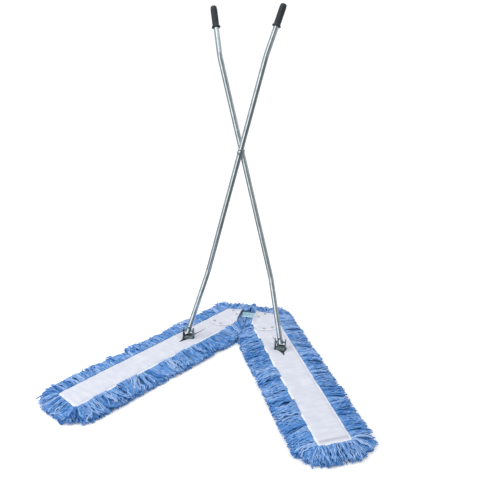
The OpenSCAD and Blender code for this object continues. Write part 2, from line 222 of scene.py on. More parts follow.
def apply_modifier(obj: bpy.types.Object, kind: str, **settings: object) -> None:
    """Adds a modifier to a piece and applies it.

    Args:
        obj: Piece to change.
        kind: Type name of the modifier.
        **settings: Properties of the modifier.
    """
    pick(obj)
    modifier = obj.modifiers.new(kind.title(), kind)
    for name, value in settings.items():
        setattr(modifier, name, value)
    bpy.ops.object.modifier_apply(modifier=modifier.name)


def smooth_shade(obj: bpy.types.Object, degrees: float) -> None:
    """Shades a piece smooth across edges that turn less than an angle."""
    pick(obj)
    bpy.ops.object.shade_smooth_by_angle(angle=math.radians(degrees))


@dataclass(frozen=True)
class Finish:
    """A procedural material; each kind of finish adds its own nodes."""

    name: str

    def surface(self, tree: bpy.types.NodeTree) -> dict[str, object]:
        """Adds the finish's nodes and gives the value or source of each input of its shader."""
        raise NotImplementedError

    def material(self) -> bpy.types.Material:
        """Makes the material, or gives the one made before."""
        made = bpy.data.materials.get(self.name)
        if made is None:
            made = bpy.data.materials.new(self.name)
            made.use_nodes = True
            tree = made.node_tree
            feed(tree, tree.nodes["Principled BSDF"], self.surface(tree))
        return made

    def put_on(self, piece: bpy.types.Object) -> None:
        """Makes this the only finish of a piece."""
        piece.data.materials.clear()
        piece.data.materials.append(self.material())
        LOG.info("%s: %d faces in %s", piece.name, len(piece.data.polygons), self.name)


@dataclass(frozen=True)
class PlatedSteel(Finish):
    """Plated mild steel: a grey mirror broken by drawing or rolling lines and a faint cloudy passivation."""

    light: str
    dark: str
    roughness: float
    lines_mm: float
    turn: tuple[float, float, float] = (0.0, 0.0, 0.0)
    cloud_mm: float = 30.0
    stretch: float = 40.0
    # Least and greatest roughness in the clouds, as shares of the mean
    polish: tuple[float, float] = (0.8, 1.25)

    def surface(self, tree: bpy.types.NodeTree) -> dict[str, object]:
        """Mixes two greys by lines along the piece and by cloudy patches."""
        place = add_node(tree, "ShaderNodeTexCoord").outputs["Object"]
        per_metre = 1 / (self.lines_mm * MM)
        drawn = add_node(tree, "ShaderNodeMapping", {
            "Vector": place, "Rotation": self.turn, "Scale": (per_metre, per_metre, per_metre / self.stretch)})
        lines = add_node(tree, "ShaderNodeTexNoise", {"Vector": drawn.outputs[0], "Scale": 1.0, "Detail": 3.0})
        cloud = add_node(tree, "ShaderNodeTexNoise", {
            "Vector": place, "Scale": 1 / (self.cloud_mm * MM), "Detail": 4.0, "Roughness": 0.6})
        both = add_node(tree, "ShaderNodeMath", {
            0: lines.outputs["Fac"], 1: cloud.outputs["Fac"]}, operation="MULTIPLY")
        share = add_node(tree, "ShaderNodeMapRange", {
            "Value": both.outputs[0], "From Min": 0.12, "From Max": 0.4})
        colour = add_node(tree, "ShaderNodeMix", {
            "Factor": share.outputs[0], "A": linear(self.dark), "B": linear(self.light)}, data_type="RGBA")
        rough = add_node(tree, "ShaderNodeMapRange", {
            "Value": cloud.outputs["Fac"], "To Min": self.roughness * self.polish[0],
            "To Max": self.roughness * self.polish[1]})
        bump = add_node(tree, "ShaderNodeBump", {
            "Height": lines.outputs["Fac"], "Strength": 0.15, "Distance": 0.05 * MM})
        return {"Base Color": colour.outputs["Result"], "Roughness": rough.outputs[0], "Normal": bump.outputs[0],
                "Metallic": 1.0}


@dataclass(frozen=True)
class MouldedBlack(Finish):
    """Moulded rubber or nylon: near-black, with a fine moulded grain and dull, slightly dusty highs."""

    deep: str
    dusty: str
    roughness: float
    grain_mm: float
    dust_mm: float = 18.0
    rough_spread: float = 0.1

    def surface(self, tree: bpy.types.NodeTree) -> dict[str, object]:
        """Draws the grain as bump and the dust as a thin change of tone."""
        place = add_node(tree, "ShaderNodeTexCoord").outputs["Object"]
        grain = add_node(tree, "ShaderNodeTexNoise", {
            "Vector": place, "Scale": 1 / (self.grain_mm * MM), "Detail": 5.0})
        dust = add_node(tree, "ShaderNodeTexNoise", {
            "Vector": place, "Scale": 1 / (self.dust_mm * MM), "Detail": 3.0})
        colour = add_node(tree, "ShaderNodeMix", {
            "Factor": dust.outputs["Fac"], "A": linear(self.deep), "B": linear(self.dusty)}, data_type="RGBA")
        rough = add_node(tree, "ShaderNodeMapRange", {
            "Value": dust.outputs["Fac"], "To Min": self.roughness - self.rough_spread,
            "To Max": self.roughness + self.rough_spread})
        bump = add_node(tree, "ShaderNodeBump", {
            "Height": grain.outputs["Fac"], "Strength": 0.3, "Distance": 0.1 * MM})
        return {"Base Color": colour.outputs["Result"], "Roughness": rough.outputs[0], "Normal": bump.outputs[0]}


@dataclass(frozen=True)
class WovenCanvas(Finish):
    """White cotton canvas in plain weave: matt, with a bright nap, mottled towards a cool grey that is partly uneven
    tone and partly painted shade of its ripples.
    """

    light: str
    hollow: str
    hem: str
    thread_mm: float
    rub: str
    # Slubs across and along the cloth and broad patches, which mottle it towards a cool grey that is partly uneven
    # tone and partly painted shade of its ripples; then the end rod's place, and the width of the painted shadow band
    # along it
    slub_mm: tuple[float, float] = (16.0, 90.0)
    soil_mm: float = 70.0
    rod_at: float = 0.936
    rub_mm: float = 9.0

    def surface(self, tree: bpy.types.NodeTree) -> dict[str, object]:
        """Weaves warp and weft on the cloth's own UV, in metres, paints a grey shadow band over the end rod and
        whitens its hem.
        """
        uv = add_node(tree, "ShaderNodeUVMap", uv_map="cloth").outputs["UV"]
        # Wave Texture draws one band in pi / 10 of a unit at scale one
        scale = math.pi / 10 / (self.thread_mm * MM)
        warp, weft = [add_node(tree, "ShaderNodeTexWave", {
            "Vector": uv, "Scale": scale, "Distortion": 0.6, "Detail": 2.0, "Detail Scale": 1.5},
            bands_direction=way).outputs["Fac"] for way in ("X", "Y")]
        weave = add_node(tree, "ShaderNodeMath", {0: warp, 1: weft}, operation="ADD")
        crosswise = add_node(tree, "ShaderNodeMapping", {
            "Vector": uv, "Scale": (*[1 / (size * MM) for size in self.slub_mm], 1.0)})
        slub = add_node(tree, "ShaderNodeTexNoise", {"Vector": crosswise.outputs[0], "Scale": 1.0, "Detail": 3.0})
        broad = add_node(tree, "ShaderNodeTexNoise", {"Vector": uv, "Scale": 1 / (self.soil_mm * MM), "Detail": 3.0})
        mottle = add_node(tree, "ShaderNodeMath", {
            0: slub.outputs["Fac"], 1: broad.outputs["Fac"]}, operation="MULTIPLY")
        share = add_node(tree, "ShaderNodeMapRange", {
            "Value": mottle.outputs[0], "From Min": 0.1, "From Max": 0.42})
        # Mixes towards the cool grey by the mottle: partly uneven tone, partly painted shade of ripples
        panel = add_node(tree, "ShaderNodeMix", {
            "Factor": share.outputs[0], "A": linear(self.hollow), "B": linear(self.light)}, data_type="RGBA")
        along = add_node(tree, "ShaderNodeSeparateXYZ", {0: uv}).outputs["X"]
        past_rod = add_node(tree, "ShaderNodeMath", {0: along, 1: self.rod_at}, operation="SUBTRACT")
        from_rod = add_node(tree, "ShaderNodeMath", {0: past_rod.outputs[0]}, operation="ABSOLUTE")
        # A grey band along the end rod, made patchy by the broad noise: painted shadow of the crease that the rod
        # lifts
        by_rod = add_node(tree, "ShaderNodeMapRange", {
            "Value": from_rod.outputs[0], "From Max": self.rub_mm * MM, "To Min": 0.9, "To Max": 0.0},
            interpolation_type="SMOOTHSTEP")
        rod_shadow_share = add_node(tree, "ShaderNodeMath", {
            0: by_rod.outputs[0], 1: broad.outputs["Fac"]}, operation="MULTIPLY")
        rod_shadowed = add_node(tree, "ShaderNodeMix", {
            "Factor": rod_shadow_share.outputs[0], "A": panel.outputs["Result"], "B": linear(self.rub)}, data_type="RGBA")
        doubled = add_node(tree, "ShaderNodeAttribute", attribute_name="hem").outputs["Fac"]
        colour = add_node(tree, "ShaderNodeMix", {
            "Factor": doubled, "A": rod_shadowed.outputs["Result"], "B": linear(self.hem)}, data_type="RGBA")
        bump = add_node(tree, "ShaderNodeBump", {
            "Height": weave.outputs[0], "Strength": 0.35, "Distance": 0.25 * MM})
        return {"Base Color": colour.outputs["Result"], "Normal": bump.outputs[0], "Roughness": 0.9,
                "Sheen Weight": 0.12, "Specular IOR Level": 0.2}


@dataclass(frozen=True)
class TwistedYarn(Finish):
    """Plied cotton yarn: soft and matt, each strand its own shade, paler on the nap, with painted shade between the
    plies.
    """

    light: str
    middle: str
    deep: str
    twist_mm: float
    plies: int = 3
    nap_mm: float = 14.0
    nap_share: float = 0.4
    ply_share: float = 0.08
    stops: tuple[float, float, float] = (0.25, 0.7, 1.0)

    def surface(self, tree: bpy.types.NodeTree) -> dict[str, object]:
        """Twists the plies round each strand by its UV, paints shade between them, and shades strands by their own
        tone.
        """
        uv = add_node(tree, "ShaderNodeUVMap", uv_map="strand").outputs["UV"]
        split = add_node(tree, "ShaderNodeSeparateXYZ", {0: uv})
        turns = add_node(tree, "ShaderNodeMath", {
            0: split.outputs["X"], 1: 1 / (self.twist_mm * MM)}, operation="MULTIPLY")
        lead = add_node(tree, "ShaderNodeMath", {
            0: split.outputs["Y"], 1: float(self.plies), 2: turns.outputs[0]}, operation="MULTIPLY_ADD")
        angle = add_node(tree, "ShaderNodeMath", {0: lead.outputs[0], 1: 2 * math.pi}, operation="MULTIPLY")
        ply = add_node(tree, "ShaderNodeMath", {0: angle.outputs[0]}, operation="SINE")
        tone = add_node(tree, "ShaderNodeAttribute", attribute_name="tone").outputs["Fac"]
        place = add_node(tree, "ShaderNodeTexCoord").outputs["Object"]
        nap = add_node(tree, "ShaderNodeTexNoise", {"Vector": place, "Scale": 1 / (self.nap_mm * MM), "Detail": 3.0})
        mixed = add_node(tree, "ShaderNodeMath", {
            0: nap.outputs["Fac"], 1: self.nap_share, 2: tone}, operation="MULTIPLY_ADD")
        # The grooves between the plies are painted darker: painted shade
        shade = add_node(tree, "ShaderNodeMath", {
            0: ply.outputs[0], 1: self.ply_share, 2: mixed.outputs[0]}, operation="MULTIPLY_ADD")
        ramp = add_node(tree, "ShaderNodeValToRGB", {"Fac": shade.outputs[0]})
        deep, light = ramp.color_ramp.elements
        deep.position, deep.color = self.stops[0], linear(self.deep)
        light.position, light.color = self.stops[2], linear(self.light)
        ramp.color_ramp.elements.new(self.stops[1]).color = linear(self.middle)
        bump = add_node(tree, "ShaderNodeBump", {"Height": ply.outputs[0], "Strength": 0.5, "Distance": 0.4 * MM})
        return {"Base Color": ramp.outputs["Color"], "Normal": bump.outputs[0], "Roughness": 0.95,
                "Sheen Weight": 0.08, "Sheen Roughness": 0.6, "Specular IOR Level": 0.1}


@dataclass(frozen=True)
class PaleFloor(Finish):
    """Painted studio floor: white and matt with a barely seen roller texture."""

    colour: str
    roller_mm: float = 4.0

    def surface(self, tree: bpy.types.NodeTree) -> dict[str, object]:
        """Gives the floor its paint and a faint texture."""
        place = add_node(tree, "ShaderNodeTexCoord").outputs["Object"]
        paint = add_node(tree, "ShaderNodeTexNoise", {
            "Vector": place, "Scale": 1 / (self.roller_mm * MM), "Detail": 2.0})
        bump = add_node(tree, "ShaderNodeBump", {"Height": paint.outputs["Fac"], "Strength": 0.02})
        return {"Base Color": linear(self.colour), "Normal": bump.outputs[0], "Roughness": 0.9}


# The tubes lean this far in from upright, so their draw lines are turned with them
HANDLE_LEAN = math.radians(15)
# Bright-plated steel, on the tubes drawn lengthwise: clear streaks with faint draw lines, coarser than real to show
TUBE = {side: PlatedSteel(f"bright_steel_tube_{side.label}", "#dde8ed", "#b4c2c9", 0.15, 2.0,
                          (0.0, side.value * HANDLE_LEAN, 0.0)) for side in Side}
# Zinc-plated pressed steel, cloudy and half dull: its bluish grey is partly the passivation and partly painted
# reflection of the blue yarn
ZINC = PlatedSteel("blue_zinc_steel", "#bbdcec", "#86abbd", 0.36, 1.5)
# The same plating on the foot joints, darkened as painted shade of the canvas slit that they stand in
SHADED_ZINC = PlatedSteel("worn_zinc_steel", "#7f9095", "#44545a", 0.3, 1.5)
# Galvanised plate and rod inside the pockets: darker, dull grey
PLATE = PlatedSteel("dull_galvanised_steel", "#666d70", "#43494c", 0.45, 1.5)
# Nickel-plated press studs: small and worn, mid grey
STUD = PlatedSteel("nickel_stud", "#c3c5c9", "#8f9196", 0.4, 0.8)
# Moulded rubber of the grips: matt black, greyed by dust
RUBBER = MouldedBlack("black_rubber", "#1a2026", "#2f3840", 0.5, 0.5)
# Moulded nylon of the saddle washers: deeper black with a dull shine
NYLON = MouldedBlack("black_nylon", "#101113", "#202225", 0.4, 0.8)
# Real canvas has about 0.8 mm between its threads; drawn at 2.4 mm so that the weave shows. The band over the end rod
# is painted shadow: dark grey on the right head, and the mottle's grey on the left
CANVAS = {side: WovenCanvas(f"white_cotton_canvas_{side.label}", "#d2d5de", "#c2c5d3", "#eceef3", 2.4, rub)
          for side, rub in ((Side.LEFT, "#c2c5d3"), (Side.RIGHT, "#96969f"))}
# Cotton sewing thread: whiter than the cloth, so that the seams show
THREAD = WovenCanvas("white_sewing_thread", "#f6f5f8", "#e4e3ea", "#f6f5f8", 0.9, "#e4e3ea")
# Blue mop yarn with one twist in 9 mm: pale on its nap, deep in its darkest strands, with painted shade between its
# plies
YARN = TwistedYarn("blue_cotton_yarn", "#a4bfe5", "#4e89ca", "#0d3d8a", 9.0)
# Matt white paint, which the mop's soft shadow shows on
FLOOR = PaleFloor("white_painted_floor", "#fbfbfb")


class Wander:
    """Smooth seeded noise along one length: a few sines with unlike wavelengths."""

    def __init__(self, seed: int, wavelength: float, terms: int = 4) -> None:
        """Draws the sines.

        Args:
            seed: Seed of the draw.
            wavelength: Mean wavelength in metres.
            terms: Number of sines.
        """
        rng, shortest, longest = np.random.default_rng(seed), 0.6, 1.7
        self.waves = 2 * math.pi / (wavelength * rng.uniform(shortest, longest, terms))
        self.phases = rng.uniform(0, 2 * math.pi, terms)

    def __call__(self, x: np.ndarray) -> np.ndarray:
        """Gives the noise, about -1 to 1, at each place."""
        return np.sin(np.multiply.outer(x, self.waves) + self.phases).sum(-1) / math.sqrt(len(self.waves))


def pairs(s: np.ndarray | float, t: np.ndarray | float) -> np.ndarray:
    """Pairs distances along a head with distances across it; one of the two may be a single number."""
    return np.column_stack(np.broadcast_arrays(s, t))


@dataclass(frozen=True)
class HeadFrame:
    """Place of one head: x runs out along it from its hinge pin, y to its outer side."""

    side: Side
    pin: tuple[float, float]
    along: tuple[float, float]
    foot: float

    @classmethod
    def of(cls, side: Side, joints: Sequence[dict]) -> "HeadFrame":
        """Reads a head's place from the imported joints.

        Args:
            side: Which head.
            joints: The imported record's joints.

        Returns:
            The head's frame.
        """
        at = {joint["name"]: np.array(joint["pos_m"][:2]) for joint in joints}
        pin, foot = at[f"{side.label}_fold"], at[f"{side.label}_swivel"]
        reach = float(np.linalg.norm(foot - pin))
        return cls(side, tuple(pin), tuple((foot - pin) / reach), reach)

    @property
    def outward(self) -> tuple[float, float]:
        """Unit direction across the head to its outer side."""
        return (-self.side.value * self.along[1], self.side.value * self.along[0])

    def place(self, local: np.ndarray) -> np.ndarray:
        """Takes points from the head's frame to the mop's."""
        flat = (np.array(self.pin) + np.multiply.outer(local[..., 0], self.along)
                + np.multiply.outer(local[..., 1], self.outward))
        return np.concatenate([flat, local[..., 2:]], axis=-1)

    def local(self, x: np.ndarray, y: np.ndarray) -> tuple[np.ndarray, np.ndarray]:
        """Takes places on the floor to distances along and across the head."""
        dx, dy = x - self.pin[0], y - self.pin[1]
        return dx * self.along[0] + dy * self.along[1], dx * self.outward[0] + dy * self.outward[1]


@dataclass(frozen=True)
class Outline:
    """Floor plan of a head's canvas pocket, mitred at the hinge end."""

    length: float = 0.962
    half_w: float = 0.070
    corner_r: float = 0.016
    rear: float = 0.038
    mouth_x: float = 0.036
    link_half: float = 0.056
    half_angle: float = math.radians(29)

    @property
    def rear_corner(self) -> tuple[float, float]:
        """Corner of the outer edge and the rear edge."""
        return ((self.half_w * math.sin(self.half_angle) - self.rear) / math.cos(self.half_angle), self.half_w)

    @property
    def mouth_corner(self) -> tuple[float, float]:
        """Corner of the inner edge and the mouth."""
        reach = self.mouth_x - self.link_half + self.half_w * math.cos(self.half_angle)
        return (reach / math.sin(self.half_angle), -self.half_w)

    def start(self, t: np.ndarray) -> np.ndarray:
        """Where the canvas starts along the head, at each place across it."""
        sin, cos = math.sin(self.half_angle), math.cos(self.half_angle)
        return np.maximum((t * sin - self.rear) / cos, (self.mouth_x - self.link_half - t * cos) / sin)

    def end(self, t: np.ndarray) -> np.ndarray:
        """Where the canvas ends along the head, at each place across it."""
        over = np.clip(np.abs(t) - (self.half_w - self.corner_r), 0, self.corner_r)
        return self.length - self.corner_r + np.sqrt(self.corner_r ** 2 - over ** 2)

    def rear_distance(self, s: np.ndarray, t: np.ndarray) -> np.ndarray:
        """Distance from the rear edge."""
        return self.rear - t * math.sin(self.half_angle) + s * math.cos(self.half_angle)

    def mouth_distance(self, s: np.ndarray, t: np.ndarray) -> np.ndarray:
        """Distance from the open edge over the link."""
        return self.link_half + s * math.sin(self.half_angle) + t * math.cos(self.half_angle) - self.mouth_x


@dataclass
class CanvasPocket:
    """Canvas pocket of one head: a sewn bag over the rod frame, slit for the foot joint."""

    place: HeadFrame
    outline: Outline = field(default_factory=Outline)
    top_z: float = 0.0362
    seam_z: float = 0.0290
    floor_z: float = 0.0146
    cloth: float = 0.0014
    hem_w: float = 0.013
    side_slope: float = 0.024
    end_slope: float = 0.036
    mouth_lift: float = 0.013
    lift_reach: float = 0.0095
    sag: float = 0.0009
    # Lift of the cloth over the end rod, the rod's distance from the end and the lift's spread
    rod_lift: float = 0.0005
    rod_back: float = 0.040
    rod_spread: float = 0.008
    # Ripples: height, and each one's weight, wavelength and shares along and across the head
    ripple: float = 0.0008
    ripples: tuple[tuple[float, float, float, float], ...] = ((0.7, 0.060, 1.0, 0.5), (0.5, 0.13, -0.6, 1.0))
    ripple_seed: int = 7
    # Where the ripples start beyond the flap, the length in which they grow, and their share before and at the rim
    calm_to: float = 0.17
    calm_fade: float = 0.05
    calm_share: float = 0.25
    rim_share: float = 0.2
    slit_pinch: float = 0.0008
    # Distances from the foot joint, and the slit's half width there on either side of the head. It leaves room for
    # the clevis's ears over the fold, ends in a point and closes to a cut towards the hinge
    slit_at: tuple[float, ...] = (
        -0.110, -0.090, -0.060, -0.0464, -0.0404, -0.0344, -0.0284, -0.0224, -0.0163, -0.0103, -0.0043, 0.0017,
        0.0077, 0.0138, 0.0198, 0.0258, 0.0318, 0.0378, 0.0438, 0.060)
    slit_inner: tuple[float, ...] = (
        0.0008, 0.0018, 0.0026, 0.0032, 0.0034, 0.0040, 0.0068, 0.0158, 0.0212, 0.0256, 0.0280, 0.0278, 0.0180,
        0.0130, 0.0102, 0.0082, 0.0066, 0.0052, 0.0040, 0.0008)
    slit_outer: tuple[float, ...] = (
        0.0008, 0.0018, 0.0026, 0.0034, 0.0048, 0.0130, 0.0225, 0.0270, 0.0288, 0.0292, 0.0290, 0.0286, 0.0272,
        0.0232, 0.0192, 0.0132, 0.0088, 0.0066, 0.0048, 0.0008)
    slit_reach: float = 0.040
    mitre_rows: int = 14
    rows: int = 132
    end_rows: int = 10
    columns: int = 28
    crowding: float = 0.9

    def to_edge(self, s: np.ndarray, t: np.ndarray) -> np.ndarray:
        """Distance to the pocket's sewn edge."""
        o = self.outline
        return np.minimum.reduce([o.half_w - np.abs(t), o.end(t) - s, o.rear_distance(s, t)])

    def height(self, s: np.ndarray, t: np.ndarray) -> np.ndarray:
        """Height of the canvas over the floor: held up by the frame, drawn down to the seams, open over the link.

        Args:
            s: Distances along the head.
            t: Distances across it.

        Returns:
            Heights in metres.
        """
        rim = np.minimum(self.to_edge(s, t) / self.side_slope, (self.outline.end(t) - s) / self.end_slope)
        held = np.clip(rim, 0, 1)
        drop = (self.top_z - self.seam_z) * (0.5 + 0.5 * np.cos(math.pi * held))
        sag = self.sag * np.clip(rim - 1, 0, 1)
        rod = self.rod_lift * np.exp(-((s - (self.outline.length - self.rod_back)) / self.rod_spread) ** 2)
        gape = self.mouth_lift * np.exp(-(self.outline.mouth_distance(s, t) / self.lift_reach) ** 2) * held
        seed = self.ripple_seed + (self.place.side is Side.RIGHT)
        ripple = sum(weight * Wander(seed + 10 * i, wavelength)(along * s + across * t)
                     for i, (weight, wavelength, along, across) in enumerate(self.ripples))
        calm = np.clip((s - self.calm_to) / self.calm_fade, self.calm_share, 1)
        return self.top_z - drop - sag + rod + gape + self.ripple * calm * ripple * np.clip(rim, self.rim_share, 1)

    def panel(self) -> bpy.types.Object:
        """Makes the top panel: a grid fitted to the outline and parted at the slit.

        Returns:
            The panel in the head's own frame.
        """
        rows, columns = self.mitre_rows + self.rows + self.end_rows, self.columns
        panel = add_piece(f"{self.place.side.label}_canvas_pocket", bpy.ops.mesh.primitive_grid_add,
                          x_subdivisions=rows, y_subdivisions=columns + 1, size=1.0)
        grid = points_of(panel.data)
        row = np.rint((grid[:, 0] + 0.5) * rows).astype(int)
        column = np.rint((grid[:, 1] + 0.5) * (columns + 1)).astype(int)
        half = columns // 2
        ease = np.sin(np.linspace(0, 1, half + 1) * math.pi / 2) ** self.crowding
        near_edge = self.slit_pinch + (self.outline.half_w - self.slit_pinch) * ease
        across = np.concatenate([-near_edge[::-1], near_edge])
        t = across[column]
        straight_from, straight_to = 0.110, 0.905
        s = straight_from + (straight_to - straight_from) * (row - self.mitre_rows) / self.rows
        start, end = self.outline.start(t), self.outline.end(t)
        s = np.where(row < self.mitre_rows, start + (straight_from - start) * row / self.mitre_rows, s)
        tail = (row - self.mitre_rows - self.rows) / self.end_rows
        s = np.where(tail > 0, straight_to + (end - straight_to) * tail, s)
        from_foot = s - self.place.foot
        half_slit = np.where(t < 0, np.interp(from_foot, self.slit_at, self.slit_inner),
                             np.interp(from_foot, self.slit_at, self.slit_outer))
        near = np.abs(t) < self.slit_reach
        spread = half_slit + (np.abs(t) - self.slit_pinch) * (self.slit_reach - half_slit) / (
            self.slit_reach - self.slit_pinch)
        t = np.where(near, np.sign(t) * spread, t)
        put_points(panel.data, np.column_stack([s, t, self.height(s, t)]))
        in_slit = (from_foot > self.slit_at[0]) & (from_foot < self.slit_at[-1]) & (
            (column == half) | (column == half + 1))
        with editing(panel):
            choose(panel, lambda points: in_slit)
            bpy.ops.mesh.delete(type="ONLY_FACE")
        return panel

    def build(self) -> bpy.types.Object:
        """Makes the pocket: the panel with its rim turned down, closed below and given the cloth's thickness.

        Returns:
            The finished pocket.
        """
        pocket = self.panel()
        points = points_of(pocket.data)
        s, t = points[:, 0], points[:, 1]
        tiny = 1e-5
        rim = (np.abs(np.abs(t) - self.outline.half_w) < tiny) | (np.abs(s - self.outline.end(t)) < tiny) | (
            np.abs(self.outline.rear_distance(s, t)) < tiny)
        with editing(pocket):
            choose(pocket, lambda points: rim)
            bpy.ops.mesh.extrude_edges_move(TRANSFORM_OT_translate={"value": (0, 0, self.floor_z - self.seam_z)})
            bpy.ops.object.mode_set(mode="OBJECT")
            points = points_of(pocket.data)
            lower = np.zeros(len(points), bool)
            pocket.data.vertices.foreach_get("select", lower)
            points[lower, 2] = self.floor_z
            put_points(pocket.data, points)
            bpy.ops.object.mode_set(mode="EDIT")
            bpy.ops.mesh.edge_face_add()
        finish_cloth(pocket, self.place, self.cloth, self.hem_w, self.to_edge)
        return pocket


def finish_cloth(piece: bpy.types.Object, place: HeadFrame, cloth: float, hem_w: float, to_edge: Callable) -> None:
    """Gives a cloth its UV in metres, its hem, its place on its head and its thickness.

    Args:
        piece: Cloth in its head's own frame.
        place: The head's frame.
        cloth: Thickness in metres.
        hem_w: Width of its doubled hem in metres.
        to_edge: Gives the distance to the cloth's edge at places along and across the head.
    """
    hem_fade, crease = 0.003, 50
    mesh = piece.data
    points = points_of(mesh)
    hem = np.clip((hem_w - to_edge(points[:, 0], points[:, 1])) / hem_fade, 0, 1)
    mesh.attributes.new("hem", "FLOAT", "POINT").data.foreach_set("value", hem)
    for layer in list(mesh.uv_layers):
        mesh.uv_layers.remove(layer)
    fold = np.sign(points[:, 1]) * (points[:, 2].max() - points[:, 2])
    flat = np.column_stack([points[:, 0], points[:, 1] + fold])
    mesh.uv_layers.new(name="cloth").data.foreach_set("uv", flat[corners_of(mesh)].ravel())
    put_points(mesh, place.place(points))
    with editing(piece):
        bpy.ops.mesh.select_all(action="SELECT")
        bpy.ops.mesh.normals_make_consistent(inside=False)
    highest = max(mesh.polygons, key=lambda face: face.center.z)
    if highest.normal.z < 0:
        mesh.flip_normals()
    apply_modifier(piece, "SOLIDIFY", thickness=cloth, offset=-1.0, use_even_offset=True)
    smooth_shade(piece, crease)


@dataclass
class CanvasFlap:
    """Canvas flap folded over the hinge end of a pocket and held by press studs."""

    pocket: CanvasPocket
    half_w: float = 0.058
    round_at: float = 0.100
    rows: int = 40
    columns: int = 30
    cloth: float = 0.0012
    clear: float = 0.0003
    inset: float = 0.003
    hem_w: float = 0.004
    hem_lift: float = 0.0006
    hem_reach: float = 0.009
    seam_from: float = 0.012
    # Waves in the loose cloth: height, wavelength and seed
    flutter: float = 0.0012
    flutter_wave: float = 0.07
    flutter_seed: int = 21
    # Places of the studs, the radius that each holds down, and the distance in which the cloth beyond comes loose
    studs: tuple[tuple[float, float], ...] = ((0.136, 0.020), (0.136, -0.020), (0.004, 0.024), (0.020, -0.014))
    stud_hold: float = 0.010
    stud_fade: float = 0.03
    # Distance along the head at which the flap starts to come loose, and the length in which it does
    loose_from: float = 0.06
    loose_over: float = 0.08

    def start(self, t: np.ndarray) -> np.ndarray:
        """Where the flap starts along the head: just inside the pocket's hinge end."""
        edge = self.pocket.outline
        return edge.start(t) + self.inset / math.cos(edge.half_angle)

    def end(self, t: np.ndarray) -> np.ndarray:
        """Where the flap's round end lies."""
        return self.round_at + np.sqrt(np.maximum(self.half_w ** 2 - t ** 2, 0))

    def to_edge(self, s: np.ndarray, t: np.ndarray) -> np.ndarray:
        """Distance to the flap's free edge."""
        past = np.maximum(s - self.round_at, 0)
        return self.half_w - np.hypot(past, t)

    def face(self, s: np.ndarray, t: np.ndarray) -> np.ndarray:
        """Height of the hem's upper face over the floor."""
        return self.pocket.height(s, t) + self.cloth + self.clear + self.hem_lift

    def build(self) -> bpy.types.Object:
        """Makes the flap over the pocket's own height, its hem a little thick and its free edge lifted.

        Returns:
            The finished flap.
        """
        place = self.pocket.place
        flap = add_piece(f"{place.side.label}_canvas_flap", bpy.ops.mesh.primitive_grid_add,
                         x_subdivisions=self.rows, y_subdivisions=self.columns, size=1.0)
        grid = points_of(flap.data)
        t = self.half_w * np.sin(grid[:, 1] * math.pi)
        starts = self.start(t)
        s = starts + (self.end(t) - starts) * (grid[:, 0] + 0.5)
        from_stud = np.min([np.hypot(s - a, t - b) for a, b in self.studs], axis=0)
        loose = np.clip((from_stud - self.stud_hold) / self.stud_fade, 0, 1) * np.clip(
            (s - self.loose_from) / self.loose_over, 0, 1)
        hem = self.hem_lift * np.exp(-(self.to_edge(s, t) / self.hem_reach) ** 4)
        wave = self.flutter * loose * (1 + Wander(self.flutter_seed + place.side.value, self.flutter_wave)(s + t))
        z = self.pocket.height(s, t) + self.cloth + self.clear + hem + wave
        put_points(flap.data, np.column_stack([s, t, z]))
        finish_cloth(flap, place, self.cloth, self.hem_w, self.to_edge)
        return flap

    def hem_line(self, inset: float, step: float) -> np.ndarray:
        """Points of a seam that runs inside the flap's free edge.

        Args:
            inset: Distance in from the edge.
            step: Distance between stitches.

        Returns:
            Rows of places along and across the head.
        """
        r = self.half_w - inset
        run = np.arange(self.seam_from, self.round_at, step)
        turn = np.linspace(math.pi / 2, -math.pi / 2, int(math.pi * r / step))
        back = run[::-1][run[::-1] > self.pocket.outline.mouth_corner[0]]
        tip = pairs(self.round_at + r * np.cos(turn), r * np.sin(turn))
        return np.concatenate([pairs(run, r), tip, pairs(back, -r)])


@dataclass
class Stitching:
    """A row of thread stitches, one modelled and the rest copied from it."""

    length: float = 0.0038
    radius: float = 0.0007
    sides: int = 6
    # How far its ends are tucked in and its middle stands off the cloth, in radii
    tuck: float = 1.2
    seat: float = 0.4

    def model(self) -> bpy.types.Mesh:
        """Models one stitch along X: a short thread with tucked ends.

        Returns:
            Its mesh.
        """
        stitch = add_piece("stitch", bpy.ops.mesh.primitive_cylinder_add, vertices=self.sides, radius=self.radius,
                           depth=self.length, end_fill_type="TRIFAN", rotation=(0, math.pi / 2, 0))
        with editing(stitch):
            for cut in (-self.length / 4, self.length / 4):
                bpy.ops.mesh.select_all(action="SELECT")
                bpy.ops.mesh.bisect(plane_co=(cut, 0, 0), plane_no=(1, 0, 0))
        mesh = stitch.data
        points = points_of(mesh)
        tucked = (np.abs(points[:, 0]) / (self.length / 2)) ** 2
        points[:, 2] -= self.radius * self.tuck * tucked
        put_points(mesh, points)
        bpy.data.objects.remove(stitch)
        return mesh

    def sew(self, name: str, place: HeadFrame, line: np.ndarray, height: Callable) -> bpy.types.Object:
        """Sews a row of stitches along a line on a cloth.

        Args:
            name: Name of the piece.
            place: The head's frame.
            line: Places of the stitches along and across the head.
            height: Gives the height of the cloth's face at places along and across.

        Returns:
            The stitches as one piece.
        """
        one, crease = self.model(), 60
        shape = points_of(one)
        faces = [list(face.vertices) for face in one.polygons]
        bpy.data.meshes.remove(one)
        heading = np.gradient(line, axis=0)
        heading /= np.linalg.norm(heading, axis=1, keepdims=True)
        across = pairs(-heading[:, 1], heading[:, 0])
        flat = line[:, None] + shape[None, :, :1] * heading[:, None] + shape[None, :, 1:2] * across[:, None]
        z = height(flat[..., 0], flat[..., 1]) + shape[None, :, 2] + self.radius * self.seat
        points = place.place(np.concatenate([flat, z[..., None]], axis=-1))
        # The left head's frame is left-handed, which turns faces inside out
        piece = copies(name, points, [face[::-1] for face in faces] if place.side is Side.LEFT else faces)
        uv = points.reshape(-1, 3)[corners_of(piece.data), :2]
        piece.data.uv_layers.new(name="cloth").data.foreach_set("uv", uv.ravel())
        smooth_shade(piece, crease)
        return piece


